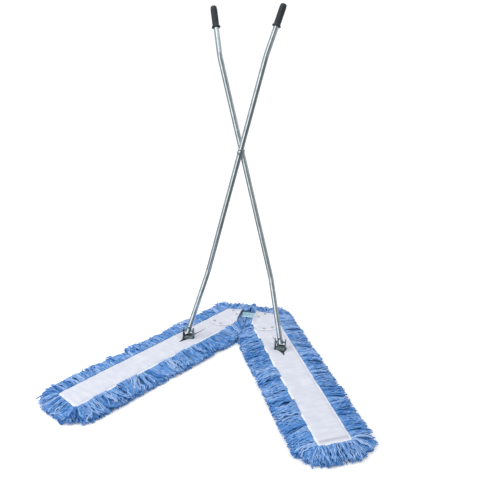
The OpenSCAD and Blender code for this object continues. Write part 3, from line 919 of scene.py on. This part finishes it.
@dataclass
class Strand:
    """One cut length of mop yarn, modelled straight and then laid along each path."""

    sides: int = 5
    rings: int = 12
    tip: float = 0.62

    def __post_init__(self) -> None:
        """Models the strand along Z with unit radius and unit length, its loose end drawn in."""
        strand = add_piece("strand", bpy.ops.mesh.primitive_cylinder_add, vertices=self.sides, radius=1.0, depth=1.0,
                           location=(0, 0, 0.5), end_fill_type="TRIFAN")
        with editing(strand):
            bpy.ops.mesh.select_mode(type="EDGE")
            bpy.ops.object.mode_set(mode="OBJECT")
            mesh = strand.data
            for edge in mesh.edges:
                low, high = (mesh.vertices[v].co.z for v in edge.vertices)
                edge.select = abs(high - low) > 0.5
            bpy.ops.object.mode_set(mode="EDIT")
            bpy.ops.mesh.subdivide(number_cuts=self.rings - 2)
            bpy.ops.mesh.select_mode(type="VERT")
            choose(strand, lambda points: points[:, 2] > 1 - 1e-4)
            bpy.ops.transform.resize(value=(self.tip, self.tip, 1.0))
        self.shape = points_of(mesh)
        self.level = np.rint(self.shape[:, 2] * (self.rings - 1)).astype(int)
        self.faces = [list(face.vertices) for face in mesh.polygons]
        turns = np.zeros(len(mesh.loops) * 2)
        mesh.uv_layers[0].data.foreach_get("uv", turns)
        self.turns = turns.reshape(-1, 2)[:, 0]
        bpy.data.objects.remove(strand)
        bpy.data.meshes.remove(mesh)

    def lay(self, name: str, paths: np.ndarray, radii: np.ndarray, tones: np.ndarray) -> bpy.types.Object:
        """Copies the strand along many paths into one piece.

        Args:
            name: Name of the piece.
            paths: Points of each path, by strand and ring.
            radii: Radius of each strand.
            tones: Shade of each strand, from 0 to 1.

        Returns:
            The strands as one piece.
        """
        nearly_up = np.array([0.05, 0.03, 1.0])
        ahead = np.gradient(paths, axis=1)
        ahead /= np.linalg.norm(ahead, axis=2, keepdims=True)
        across = np.cross(ahead, nearly_up)
        across /= np.linalg.norm(across, axis=2, keepdims=True)
        rise = np.cross(ahead, across)
        offset = self.shape[None, :, :1] * across[:, self.level] + self.shape[None, :, 1:2] * rise[:, self.level]
        piece = copies(name, paths[:, self.level] + offset * radii[:, None, None], self.faces)
        mesh, amount = piece.data, len(paths)
        steps = np.linalg.norm(np.diff(paths, axis=1), axis=2)
        run = np.concatenate([np.zeros((amount, 1)), np.cumsum(steps, axis=1)], axis=1)[:, self.level].ravel()
        uv = np.column_stack([run[corners_of(mesh)], np.tile(self.turns, amount)])
        mesh.uv_layers.new(name="strand").data.foreach_set("uv", uv.ravel())
        shade = mesh.attributes.new("tone", "FLOAT", "POINT")
        shade.data.foreach_set("value", np.repeat(tones, len(self.shape)))
        mesh.polygons.foreach_set("use_smooth", np.ones(len(mesh.polygons), bool))
        mesh.update()
        return piece


@dataclass(frozen=True)
class YarnHabit:
    """How yarn strays: spreads of the seeded draws for a tuft and for a strand, in metres, radians and shares."""

    # Shift of the tufts from layer to layer and unevenness of their widths, in tufts, and its wavelength
    stagger: float = 0.6
    uneven: float = 0.3
    uneven_wave: float = 0.09
    # Lean of a tuft, of its neighbourhood, whose wavelength follows, and of a strand
    tuft_lean: float = 0.15
    near_lean: float = 0.12
    near_wave: float = 0.12
    strand_lean: float = 0.07
    # Length as a share of the reach, its loss from the lowest layer to the top, its spreads and its bounds
    length: float = 0.97
    layer_loss: float = 0.06
    tuft_length: float = 0.065
    strand_length: float = 0.035
    length_bounds: tuple[float, float] = (0.72, 1.03)
    # Roots: distance inside the edge, mean and spread of a tuft's lap over the canvas, and its greatest
    inset: float = 0.003
    lap_mean: float = 0.5
    lap_spread: float = 0.6
    lap_most: float = 1.2
    # Height that the roots of lower layers stay under, the canvas's slope at its edge, and the share of a strand
    # in which it leaves its root's height
    root_z: float = 0.024
    edge_slope: float = 0.22
    root_share: float = 0.14
    # Sideways: share by which tips are drawn to their tuft's middle, hook of the tips, curl and its turns
    drawn: tuple[float, float] = (0.5, 1.2)
    tuft_hook: float = 0.009
    strand_hook: float = 0.004
    curl: float = 0.0036
    curl_turns: tuple[float, float] = (1.2, 2.6)
    # Upwards: bow of a tuft and a strand, rise of a tuft's tips and its bounds, and ripples to each turn of the curl
    tuft_bow: float = 0.0030
    strand_bow: float = 0.0020
    tip_rise: float = 0.0070
    rise_bounds: tuple[float, float] = (-0.8, 1.3)
    ripple: float = 0.0014
    ripple_pace: float = 1.3
    # Thickness as a share of the radius, and tone: its mean, its spreads and its gain from the floor to the top,
    # painted light that makes the upper layers paler and the lower ones darker as if in their shade
    thickness: tuple[float, float] = (0.82, 1.16)
    tone: float = 0.45
    strand_tone: float = 0.09
    tuft_tone: float = 0.08
    layer_tone: float = 0.12


@dataclass
class Fringe:
    """Yarn sewn round one head: tufts of curly strands in layers, and the pile that lies under the canvas."""

    place: HeadFrame
    strand: Strand
    outline: Outline = field(default_factory=Outline)
    habit: YarnHabit = field(default_factory=YarnHabit)
    reach: float = 0.090
    edge_h: float = 0.032
    tip_h: float = 0.019
    # Hump of the upper face near its root: height, place and spread as shares of the reach
    hump_h: float = 0.004
    hump_at: float = 0.18
    hump_spread: float = 0.14
    slump: float = 2.4
    seam_z: float = 0.029
    radius: float = 0.0027
    spacing: float = 0.0050
    layers: tuple[float, ...] = (0.08, 0.32, 0.56, 0.80, 1.0)
    top_layer: float = 0.9
    tuft: float = 0.028
    # How strongly tips are drawn together on edges, round the end's corners, and where the yarn fans out
    edge_clump: float = 0.55
    rear_clump: float = 0.5
    corner_clump: float = 0.35
    fan_clump: float = 0.3
    mouth_reach: float = 0.300
    inner_lap: float = 0.006
    end_share: float = 0.82
    corner_shares: tuple[float, float] = (0.74, 0.9)
    # Line on which the two heads' yarn meets: clearance, softness, height and wavelength of its waves, seed, and
    # how far yarn that meets it turns aside
    middle_clear: float = 0.0034
    middle_soft: float = 0.012
    middle_waves: tuple[tuple[float, float], tuple[float, float]] = ((0.006, 0.050), (0.003, 0.021))
    middle_seed: int = 31
    turn_aside: float = 0.7
    # Link: reach before and behind its pins, height under it, reach to a side, and the fades beyond the two reaches
    link_reach: float = 0.030
    link_under: float = 0.0155
    link_side: float = 0.080
    reach_fade: float = 0.014
    side_fade: float = 0.012
    open_sky: float = 0.05

    def top(self, r: np.ndarray) -> np.ndarray:
        """Height of the fringe's upper face from its root, 0, to its tips, 1."""
        hump = self.hump_h * np.exp(-((r - self.hump_at) / self.hump_spread) ** 2)
        return self.tip_h + (self.edge_h - self.tip_h) * (1 - r ** self.slump) + hump

    def comb(self, roots: np.ndarray, headings: np.ndarray, run: np.ndarray, seed: int,
             drawn: float, share: float | np.ndarray, lap: float) -> tuple[np.ndarray, np.ndarray, np.ndarray]:
        """Lays strands outwards from an edge in every layer, tuft by tuft.

        Args:
            roots: Places along and across the head where strands leave it.
            headings: Unit directions in which they leave.
            run: Distance of each root along its edge.
            seed: Seed for this edge.
            drawn: How far the tips of a tuft are drawn together.
            share: Length of the strands as a share of the fringe's reach.
            lap: How far the top layer's tufts lap over the canvas.

        Returns:
            Paths in the mop's frame, radii and tones.
        """
        h, rng, amount = self.habit, np.random.default_rng(seed), len(roots)
        r = np.linspace(0, 1, self.strand.rings)
        # How much of each stray shows from a strand's root to its tip
        leaning, drawing, hooked, curled = r ** 1.25, r ** 0.8 * (1.6 - r), r ** 3, r ** 0.6
        bowed, rising = np.sin(r * math.pi), r ** 2
        across = pairs(-headings[:, 1], headings[:, 0])
        made = []
        for layer in self.layers:
            on_top = layer > self.top_layer
            at = run + rng.uniform(-0.5, 0.5, amount) * self.spacing + layer * h.stagger * self.tuft
            count = at / self.tuft + h.uneven * Wander(seed + 2, h.uneven_wave)(at)
            tuft = np.floor(count).astype(int) - math.floor(count.min())
            lean, length, lift, hook, shade, stand = rng.normal(size=(6, tuft.max() + 1))[:, tuft]
            lean = (h.tuft_lean * lean + h.near_lean * Wander(seed + 1, h.near_wave)(at)
                    + rng.normal(0, h.strand_lean, amount))
            length = h.length - h.layer_loss * layer + h.tuft_length * length + rng.normal(0, h.strand_length, amount)
            length = share * self.reach * np.clip(length, *h.length_bounds)
            inset = h.inset + lap * on_top * np.clip(h.lap_mean + h.lap_spread * lift, 0, h.lap_most)
            to_middle = drawn * (np.floor(count) + 0.5 - count) * self.tuft * rng.uniform(*h.drawn, amount)
            hook = h.tuft_hook * hook + rng.normal(0, h.strand_hook, amount)
            curl = rng.normal(0, h.curl, amount)
            wave = (np.outer(rng.uniform(*h.curl_turns, amount), 2 * math.pi * r)
                    + rng.uniform(0, 2 * math.pi, (amount, 1)))
            sideways = (np.outer(np.tan(lean) * length, leaning) + np.outer(to_middle, drawing)
                        + np.outer(hook, hooked) + curl[:, None] * np.sin(wave) * curled)
            outward = np.outer(length * np.cos(lean), r) - inset[:, None]
            flat = roots[:, None] + outward[..., None] * headings[:, None] + sideways[..., None] * across[:, None]
            rise = (np.outer(h.tuft_bow * lift + rng.normal(0, h.strand_bow, amount), bowed)
                    + np.outer(h.tip_rise * np.clip(stand, *h.rise_bounds), rising)
                    + h.ripple * np.cos(h.ripple_pace * wave))
            z = self.radius + layer * (self.top(r) - 2 * self.radius + rise)
            over = self.seam_z + h.edge_slope * inset + self.radius
            root = np.where(on_top, over, np.minimum(z[:, 0], h.root_z))[:, None]
            z = np.maximum(root + (z - root) * np.clip(r / h.root_share, 0, 1), self.radius)
            paths = self.part(self.place.place(np.concatenate([flat, z[..., None]], axis=-1)))
            radii = self.radius * rng.uniform(*h.thickness, amount)
            # Upper layers are painted paler than lower ones: painted light and shade
            tones = rng.normal(h.tone, h.strand_tone, amount) + h.tuft_tone * shade + h.layer_tone * layer
            made.append((paths, radii, np.clip(tones, 0, 1)))
        return tuple(np.concatenate(group) for group in zip(*made))

    def part(self, paths: np.ndarray) -> np.ndarray:
        """Keeps yarn off the other head's, which turns it aside along a wavy meeting line, and under the link.

        Args:
            paths: Points in the mop's frame.

        Returns:
            The paths, turned aside.
        """
        side = self.place.side.value
        x, y, z = np.moveaxis(paths, -1, 0)
        (wide, wide_wave), (fine, fine_wave) = self.middle_waves
        meeting = (wide * Wander(self.middle_seed, wide_wave)(y + z)
                   + fine * Wander(self.middle_seed + 1, fine_wave)(y - 2 * z))
        inward = (x - meeting) * side
        over = np.maximum(self.middle_clear + self.middle_soft - inward, 0)
        kept = np.where(over > 0, self.middle_clear + self.middle_soft * np.exp(-over / self.middle_soft), inward)
        ahead = np.where(y > self.place.pin[1], 1.0, -1.0)
        turned = y + ahead * self.turn_aside * np.maximum(kept - inward, 0)
        from_pins = np.abs(turned - self.place.pin[1])
        near_link = np.clip((self.link_reach + self.reach_fade - from_pins) / self.reach_fade, 0, 1)
        beside = np.clip((self.link_side - kept) / self.side_fade, 0, 1)
        ceiling = self.link_under + (1 - near_link * beside) * self.open_sky
        return np.stack([meeting + kept * side, turned, np.minimum(z, ceiling)], axis=-1)

    def straight(self, start: tuple[float, float],
                 end: tuple[float, float]) -> tuple[np.ndarray, np.ndarray, np.ndarray]:
        """Roots, headings and runs along a straight edge with the head on its left.

        Args:
            start: One end of the edge, along and across the head.
            end: Its other end.

        Returns:
            Roots, headings and distances along the edge.
        """
        a, b = np.array(start), np.array(end)
        length = float(np.linalg.norm(b - a))
        run = np.arange(self.spacing / 2, length, self.spacing)
        ahead = (b - a) / length
        heading = np.array([ahead[1], -ahead[0]])
        return a + run[:, None] * ahead, np.tile(heading, (len(run), 1)), run

    def fan(self, middle: tuple[float, float], r: float, start: float, turn: float,
            count: int) -> tuple[np.ndarray, np.ndarray, np.ndarray]:
        """Roots, headings and runs round a corner.

        Args:
            middle: Middle of the corner's arc.
            r: Radius of the arc.
            start: First heading, in radians.
            turn: Angle that the headings sweep.
            count: Number of strands in a layer.

        Returns:
            Roots, headings and distances along the tips.
        """
        angle = start + turn * (np.arange(count) + 0.5) / count
        heading = np.column_stack([np.cos(angle), np.sin(angle)])
        return np.array(middle) + r * heading, heading, (angle - start) * (r + self.reach)

    def outer(self, name: str) -> bpy.types.Object:
        """Makes the yarn of the outer edge, with the fan of its rear corner."""
        o, strands, arc_r = self.outline, 18, 0.003
        edge = self.straight((o.length - o.corner_r, o.half_w), o.rear_corner)
        fan = self.fan(o.rear_corner, arc_r, math.pi / 2, math.pi / 2 - o.half_angle, strands)
        return self.gather(name, [(edge, self.edge_clump, 1.0), (fan, self.fan_clump, 1.0)], seed=100)

    def end(self, name: str) -> bpy.types.Object:
        """Makes the yarn of the outer end and its two corners."""
        o, strands = self.outline, 27
        at, w = o.length - o.corner_r, o.half_w - o.corner_r
        edge = self.straight((o.length, -w), (o.length, w))
        left = self.fan((at, w), o.corner_r, 0.0, math.pi / 2, strands)
        right = self.fan((at, -w), o.corner_r, -math.pi / 2, math.pi / 2, strands)
        share = np.interp(np.linspace(0, 1, strands), (0, 0.5, 1), (self.end_share, *self.corner_shares))
        edges = [(edge, self.edge_clump, self.end_share), (left, self.corner_clump, share),
                 (right, self.corner_clump, share[::-1])]
        return self.gather(name, edges, seed=200)

    def inner(self, name: str) -> bpy.types.Object:
        """Makes the yarn of the inner edge beyond the mouth."""
        o = self.outline
        edge = self.straight((self.mouth_reach, -o.half_w), (o.length - o.corner_r, -o.half_w))
        return self.gather(name, [(edge, self.edge_clump, 1.0)], seed=300, lap=self.inner_lap)

    def mouth(self, name: str) -> bpy.types.Object:
        """Makes the yarn of the mouth in front of the link, which meets the other head's."""
        o, side = self.outline, self.place.side.value
        depth, inside, first_aim, last_aim = 0.082, 0.004, -8, -58
        edge = self.straight(o.mouth_corner, (self.mouth_reach, -o.half_w))
        front = self.place.pin[1] - self.link_reach
        y = np.arange(front, front - depth, -self.spacing)
        x = np.full_like(y, side * (o.mouth_x + inside))
        turn = np.radians(np.linspace(first_aim, last_aim, len(y)))
        aim = np.column_stack([-np.cos(turn), np.sin(turn)]) * (side, 1)
        headings = np.column_stack([aim @ self.place.along, aim @ self.place.outward])
        beside_link = (np.column_stack(self.place.local(x, y)), headings, np.arange(len(y)) * self.spacing)
        edges = [(edge, self.edge_clump, 1.0), (beside_link, self.fan_clump, 1.0)]
        return self.gather(name, edges, seed=600, lap=self.inner_lap)

    def rear(self, name: str) -> bpy.types.Object:
        """Makes the yarn of the rear edge and the filling behind the link."""
        o, inside = self.outline, 0.002
        far_x = o.link_half + o.rear_corner[0] * math.sin(o.half_angle) + o.rear_corner[1] * math.cos(o.half_angle)
        x = np.arange(self.middle_clear, far_x, self.spacing)
        y = np.full_like(x, self.place.pin[1] + o.rear - inside)
        roots = np.column_stack(self.place.local(x * self.place.side.value, y))
        headings = np.tile([-math.cos(o.half_angle), math.sin(o.half_angle)], (len(x), 1))
        return self.gather(name, [((roots, headings, x), self.rear_clump, 1.0)], seed=400)

    def gather(self, name: str, edges: Sequence[tuple], seed: int, lap: float = 0.002) -> bpy.types.Object:
        """Combs several edges and lays their strands as one piece.

        Args:
            name: Name of the piece.
            edges: Edge, strength of its clumps and share of the reach, for each edge.
            seed: Seed of the first edge on the left head.
            lap: How far the top layer laps over the canvas.

        Returns:
            The piece.
        """
        next_edge, other_head = 7, 50
        seed += other_head * (self.place.side is Side.RIGHT)
        combed = [self.comb(*edge, seed + next_edge * i, clumped, share, lap)
                  for i, (edge, clumped, share) in enumerate(edges)]
        paths, radii, tones = (np.concatenate(group) for group in zip(*combed))
        return self.strand.lay(name, paths, radii, tones)

    def pile(self, name: str) -> bpy.types.Object:
        """Makes the pile: two layers of yarn laid across the head under the canvas."""
        seed, first, end_inset, pitch, upper_z, narrowest = 500, -0.036, 0.006, 0.0064, 0.0098, 0.02
        sway, sway_pace, uneven, ripple, ripple_pace = 0.004, 2.2, 0.0004, 0.0008, 6
        thickness, tone, tone_spread = (0.9, 1.12), 0.4, 0.12
        rng = np.random.default_rng(seed + self.place.side.value)
        s = np.arange(first, self.outline.length - end_inset, pitch)
        t = np.linspace(-1, 1, self.strand.rings)
        one_each = (len(s), 1)
        made = []
        for z in (self.radius, upper_z):
            bend = rng.normal(0, sway, one_each) * np.sin(t * sway_pace + rng.uniform(0, 6, one_each))
            width = self.half_widths(s)
            across = width[:, :1] + (width[:, 1:] - width[:, :1]) * (t + 1) / 2
            height = (z + rng.normal(0, uneven, one_each)
                      + ripple * np.sin(ripple_pace * t + rng.uniform(0, 6, one_each)))
            local = np.stack([s[:, None] + bend, across, np.maximum(height, self.radius)], axis=-1)
            made.append(local[width[:, 1] - width[:, 0] > narrowest])
        paths = self.place.place(np.concatenate(made))
        radii = self.radius * rng.uniform(*thickness, len(paths))
        tones = np.clip(rng.normal(tone, tone_spread, len(paths)), 0, 1)
        return self.strand.lay(name, paths, radii, tones)

    def half_widths(self, s: np.ndarray) -> np.ndarray:
        """Lowest and highest place across the head that the canvas covers, at each distance along it."""
        o = self.outline
        sin, cos = math.sin(o.half_angle), math.cos(o.half_angle)
        inside = 0.002
        low = np.maximum(-o.half_w, (o.mouth_x - o.link_half - s * sin) / cos) + inside
        high = np.minimum(o.half_w, (o.rear + s * cos) / sin) - inside
        return np.column_stack([low, np.maximum(high, low)])


@dataclass
class MopHead:
    """One head with all that is soft on it."""

    side: Side
    strand: Strand
    # Distances from the middle, paired with the yarn behind and before the link, which stays where it is built rather
    # than riding on the arm
    rear_blend: float = 0.095
    mouth_blend: float = 0.050

    def dress(self) -> None:
        """Builds the head's pieces, finishes them and lets them ride on the arm, all but the yarn behind and before
        the link, which stays where it is built.
        """
        label, arm = self.side.label, f"{self.side.label}_arm"
        place = HeadFrame.of(self.side, frame["joints"])
        pocket, fringe = CanvasPocket(place), Fringe(place, self.strand)
        flap = CanvasFlap(pocket)
        bag = pocket.build()
        cover = flap.build()
        seams = self.sew(pocket, flap)
        yarn = [fringe.outer(f"{label}_fringe_outer"), fringe.end(f"{label}_fringe_end"),
                fringe.inner(f"{label}_fringe_inner"), fringe.pile(f"{label}_yarn_pile")]
        bending = {fringe.rear(f"{label}_fringe_rear"): self.rear_blend,
                   fringe.mouth(f"{label}_fringe_mouth"): self.mouth_blend}
        looks = [*[(cloth, CANVAS[self.side], "white_canvas") for cloth in (bag, cover)],
                 *[(seam, THREAD, "white_canvas") for seam in seams],
                 *[(part, YARN, "blue_yarn") for part in (*yarn, *bending)]]
        for piece, finish, slot in looks:
            finish.put_on(piece)
        for piece in (bag, cover, *seams, *yarn):
            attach(piece, arm)
        for piece, reach in bending.items():
            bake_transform(piece)
        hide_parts(f"{label}_pocket")
        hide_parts(f"{label}_flap")
        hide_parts(f"{label}_fringe")
        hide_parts(f"{label}_pile")

    def sew(self, pocket: CanvasPocket, flap: CanvasFlap) -> list[bpy.types.Object]:
        """Sews the pocket's seam and the two rows on the flap.

        Args:
            pocket: The head's pocket.
            flap: Its flap.

        Returns:
            The pocket's seam, then the flap's.
        """
        o, label, step, inset, inner_inset = pocket.outline, self.side.label, 0.0055, 0.004, 0.010
        corner_clear, corner_stitches = 0.01, 5
        w, r = o.half_w - inset, o.corner_r - inset
        at = o.length - o.corner_r
        outer = np.arange(o.rear_corner[0] + corner_clear, at, step)
        inner = np.arange(at, o.mouth_corner[0] + corner_clear, -step)
        arc = np.linspace(math.pi / 2, 0, corner_stitches)
        bend = pairs(at + r * np.cos(arc), w - r + r * np.sin(arc))
        end = np.arange(w - r - step, r - w, -step)
        line = np.concatenate([
            pairs(outer, w), bend, pairs(at + r, end), bend[::-1] * (1, -1), pairs(inner, -w)])
        thread, place = Stitching(), pocket.place
        return [thread.sew(f"{label}_pocket_seam", place, line, pocket.height),
                thread.sew(f"{label}_flap_hem_seam", place, flap.hem_line(inset, step), flap.face),
                thread.sew(f"{label}_flap_inner_seam", place, flap.hem_line(inner_inset, step), flap.face)]


@dataclass(frozen=True)
class Hardware:
    """The steel, rubber and nylon pieces, which keep their CAD shape and get their finish."""

    plate_nodes: tuple[str, ...] = ("frame", "tongue", "bridge", "cross_bar")
    worn_nodes: tuple[str, ...] = ("clevis", "lean_pin", "swivel_rivet", "knuckle", "tilt_rivet")
    shared_zinc: tuple[str, ...] = ("hinge_link", "hinge_pins")
    pivot_nodes: tuple[str, ...] = ("pivot_bolt", "pivot_nut")

    def dress(self) -> None:
        """Gives every hard node its finish."""
        finishes = {node: ZINC for node in self.shared_zinc}
        finishes |= {node: TUBE[Side.LEFT] for node in self.pivot_nodes}
        for side in Side:
            finishes |= {f"{side.label}_{node}": PLATE for node in self.plate_nodes}
            # The foot joints get the darker plating: painted shade
            finishes |= {f"{side.label}_{node}": SHADED_ZINC for node in self.worn_nodes}
            finishes |= {f"{side.label}_handle": TUBE[side], f"{side.label}_grip": RUBBER,
                         f"{side.label}_saddles": NYLON, f"{side.label}_studs": STUD}
        for node, finish in finishes.items():
            finish.put_on(frame["nodes"][node])


@dataclass(frozen=True)
class Lamp:
    """A square area lamp that points at the mop; bright steel doesn't mirror it."""

    name: str
    spot: tuple[float, float, float]
    size: float
    watts: float

    def hang(self, target: tuple[float, float, float]) -> None:
        """Hangs the lamp and turns it to a place."""
        bpy.ops.object.light_add(type="AREA", location=self.spot)
        lamp = bpy.context.object
        lamp.name = self.name
        lamp.data.size, lamp.data.energy = self.size, self.watts
        lamp.visible_glossy = False
        lamp.rotation_mode = "QUATERNION"
        lamp.rotation_quaternion = (Vector(target) - Vector(self.spot)).to_track_quat("-Z", "Y")


@dataclass(frozen=True)
class Studio:
    """Pale floor, soft light and the camera of the photograph."""

    azimuth: float = math.radians(15.111)
    elevation: float = math.radians(22.148)
    roll: float = math.radians(-0.88)
    station: tuple[float, float, float] = (0.679, -2.271, 1.545)
    lens_mm: float = 48.70
    sensor_mm: float = 36.0
    sight: float = 200.0
    floor_size: float = 120.0
    floor_z: float = -0.0005
    lamps: tuple[Lamp, ...] = (Lamp("key", (-1.9, -1.0, 2.0), 1.8, 24), Lamp("fill", (2.8, -1.2, 2.6), 2.4, 2),
                               Lamp("top", (0.0, 0.6, 4.2), 4.0, 2))
    lit_at: tuple[float, float, float] = (0.0, 0.0, 0.4)
    # Heights between which the surround turns into ceiling, and the brightness of the two
    soft_ceiling: tuple[tuple[float, float], tuple[float, float]] = ((0.05, 0.6), (0.30, 1.04))
    mirrored_ceiling: tuple[tuple[float, float], tuple[float, float]] = ((0.6, 0.95), (0.28, 1.1))
    # Heights round the horizon over which the mirrored surround brightens upwards, and its shares of light
    mirrored_ground: tuple[tuple[float, float], tuple[float, float]] = ((-0.36, 0.10), (0.62, 1.12))
    # Upright light strips: bearing in degrees, brightness, and the cosines at their edge and core
    soft_strips: tuple[tuple[float, float, float, float], ...] = (
        (-112, 0.55, 0.80, 0.97), (25, 0.28, 0.80, 0.97), (178, 0.2, 0.80, 0.97))
    mirrored_strips: tuple[tuple[float, float, float, float], ...] = (
        (-112, 1.1, 0.86, 0.98), (25, 0.28, 0.80, 0.97), (178, 0.2, 0.80, 0.97), (106, 0.55, 0.70, 0.95))

    def camera(self) -> None:
        """Sets up the camera where the photograph was taken."""
        a, e = self.azimuth, self.elevation
        right = Vector((math.cos(a), math.sin(a), 0))
        back = Vector((math.sin(a) * math.cos(e), -math.cos(a) * math.cos(e), math.sin(e)))
        up = back.cross(right)
        level, tipped = math.cos(self.roll), math.sin(self.roll)
        across, rise = right * level + up * tipped, up * level - right * tipped
        bpy.ops.object.camera_add()
        camera = bpy.context.object
        camera.matrix_world = Matrix.Translation(self.station) @ Matrix((across, rise, back)).transposed().to_4x4()
        camera.data.lens, camera.data.sensor_width, camera.data.clip_end = self.lens_mm, self.sensor_mm, self.sight
        bpy.context.scene.camera = camera

    def floor(self) -> None:
        """Lays a wide pale floor just under the yarn."""
        floor = add_piece("floor", bpy.ops.mesh.primitive_plane_add, size=self.floor_size,
                          location=(0, 0, self.floor_z))
        FLOOR.put_on(floor)
        floor.visible_glossy = False

    def light(self) -> None:
        """Lights the studio: soft lamps, and a surround that matt things and bright steel see differently."""
        world = bpy.data.worlds.new("studio")
        world.use_nodes = True
        bpy.context.scene.world = world
        tree = world.node_tree
        ray = add_node(tree, "ShaderNodeTexCoord").outputs["Generated"]
        split = add_node(tree, "ShaderNodeSeparateXYZ", {0: ray})
        level = add_node(tree, "ShaderNodeCombineXYZ", {"X": split.outputs["X"], "Y": split.outputs["Y"]})
        flat = add_node(tree, "ShaderNodeVectorMath", {0: level.outputs[0]}, operation="NORMALIZE")
        soft, mirrored, ground = [add_node(tree, "ShaderNodeMapRange", {
            "Value": split.outputs["Z"], "From Min": low, "From Max": high, "To Min": dim, "To Max": bright},
            interpolation_type="SMOOTHSTEP").outputs[0]
            for (low, high), (dim, bright) in (self.soft_ceiling, self.mirrored_ceiling, self.mirrored_ground)]
        glow = []
        for shine, strips in ((soft, self.soft_strips), (mirrored, self.mirrored_strips)):
            for degrees, strength, edge, core in strips:
                bearing = math.radians(degrees)
                facing = add_node(tree, "ShaderNodeVectorMath", {
                    0: flat.outputs[0], 1: (math.cos(bearing), math.sin(bearing), 0)}, operation="DOT_PRODUCT")
                strip = add_node(tree, "ShaderNodeMapRange", {
                    "Value": facing.outputs["Value"], "From Min": edge, "From Max": core, "To Max": strength},
                    interpolation_type="SMOOTHSTEP")
                shine = add_node(tree, "ShaderNodeMath", {0: shine, 1: strip.outputs[0]}, operation="ADD").outputs[0]
            glow.append(shine)
        grounded = add_node(tree, "ShaderNodeMath", {0: glow[1], 1: ground}, operation="MULTIPLY")
        path = add_node(tree, "ShaderNodeLightPath").outputs
        lit = add_node(tree, "ShaderNodeMix", {
            "Factor": path["Is Glossy Ray"], "A": glow[0], "B": grounded.outputs[0]})
        shown = add_node(tree, "ShaderNodeMix", {
            "Factor": path["Is Camera Ray"], "A": lit.outputs["Result"], "B": 1.0})
        feed(tree, tree.nodes["Background"], {"Color": linear("#ffffff"), "Strength": shown.outputs["Result"]})
        for lamp in self.lamps:
            lamp.hang(self.lit_at)
        bpy.context.scene.view_settings.view_transform = "Standard"

    def build(self) -> None:
        """Sets up camera, floor and light."""
        self.camera()
        self.floor()
        self.light()


def main() -> None:
    """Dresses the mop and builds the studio."""
    logging.basicConfig(level=logging.INFO, format="%(name)s: %(message)s")
    Studio().build()
    Hardware().dress()
    strand = Strand()
    for side in Side:
        MopHead(side, strand).dress()


if __name__ == "__main__":
    main()
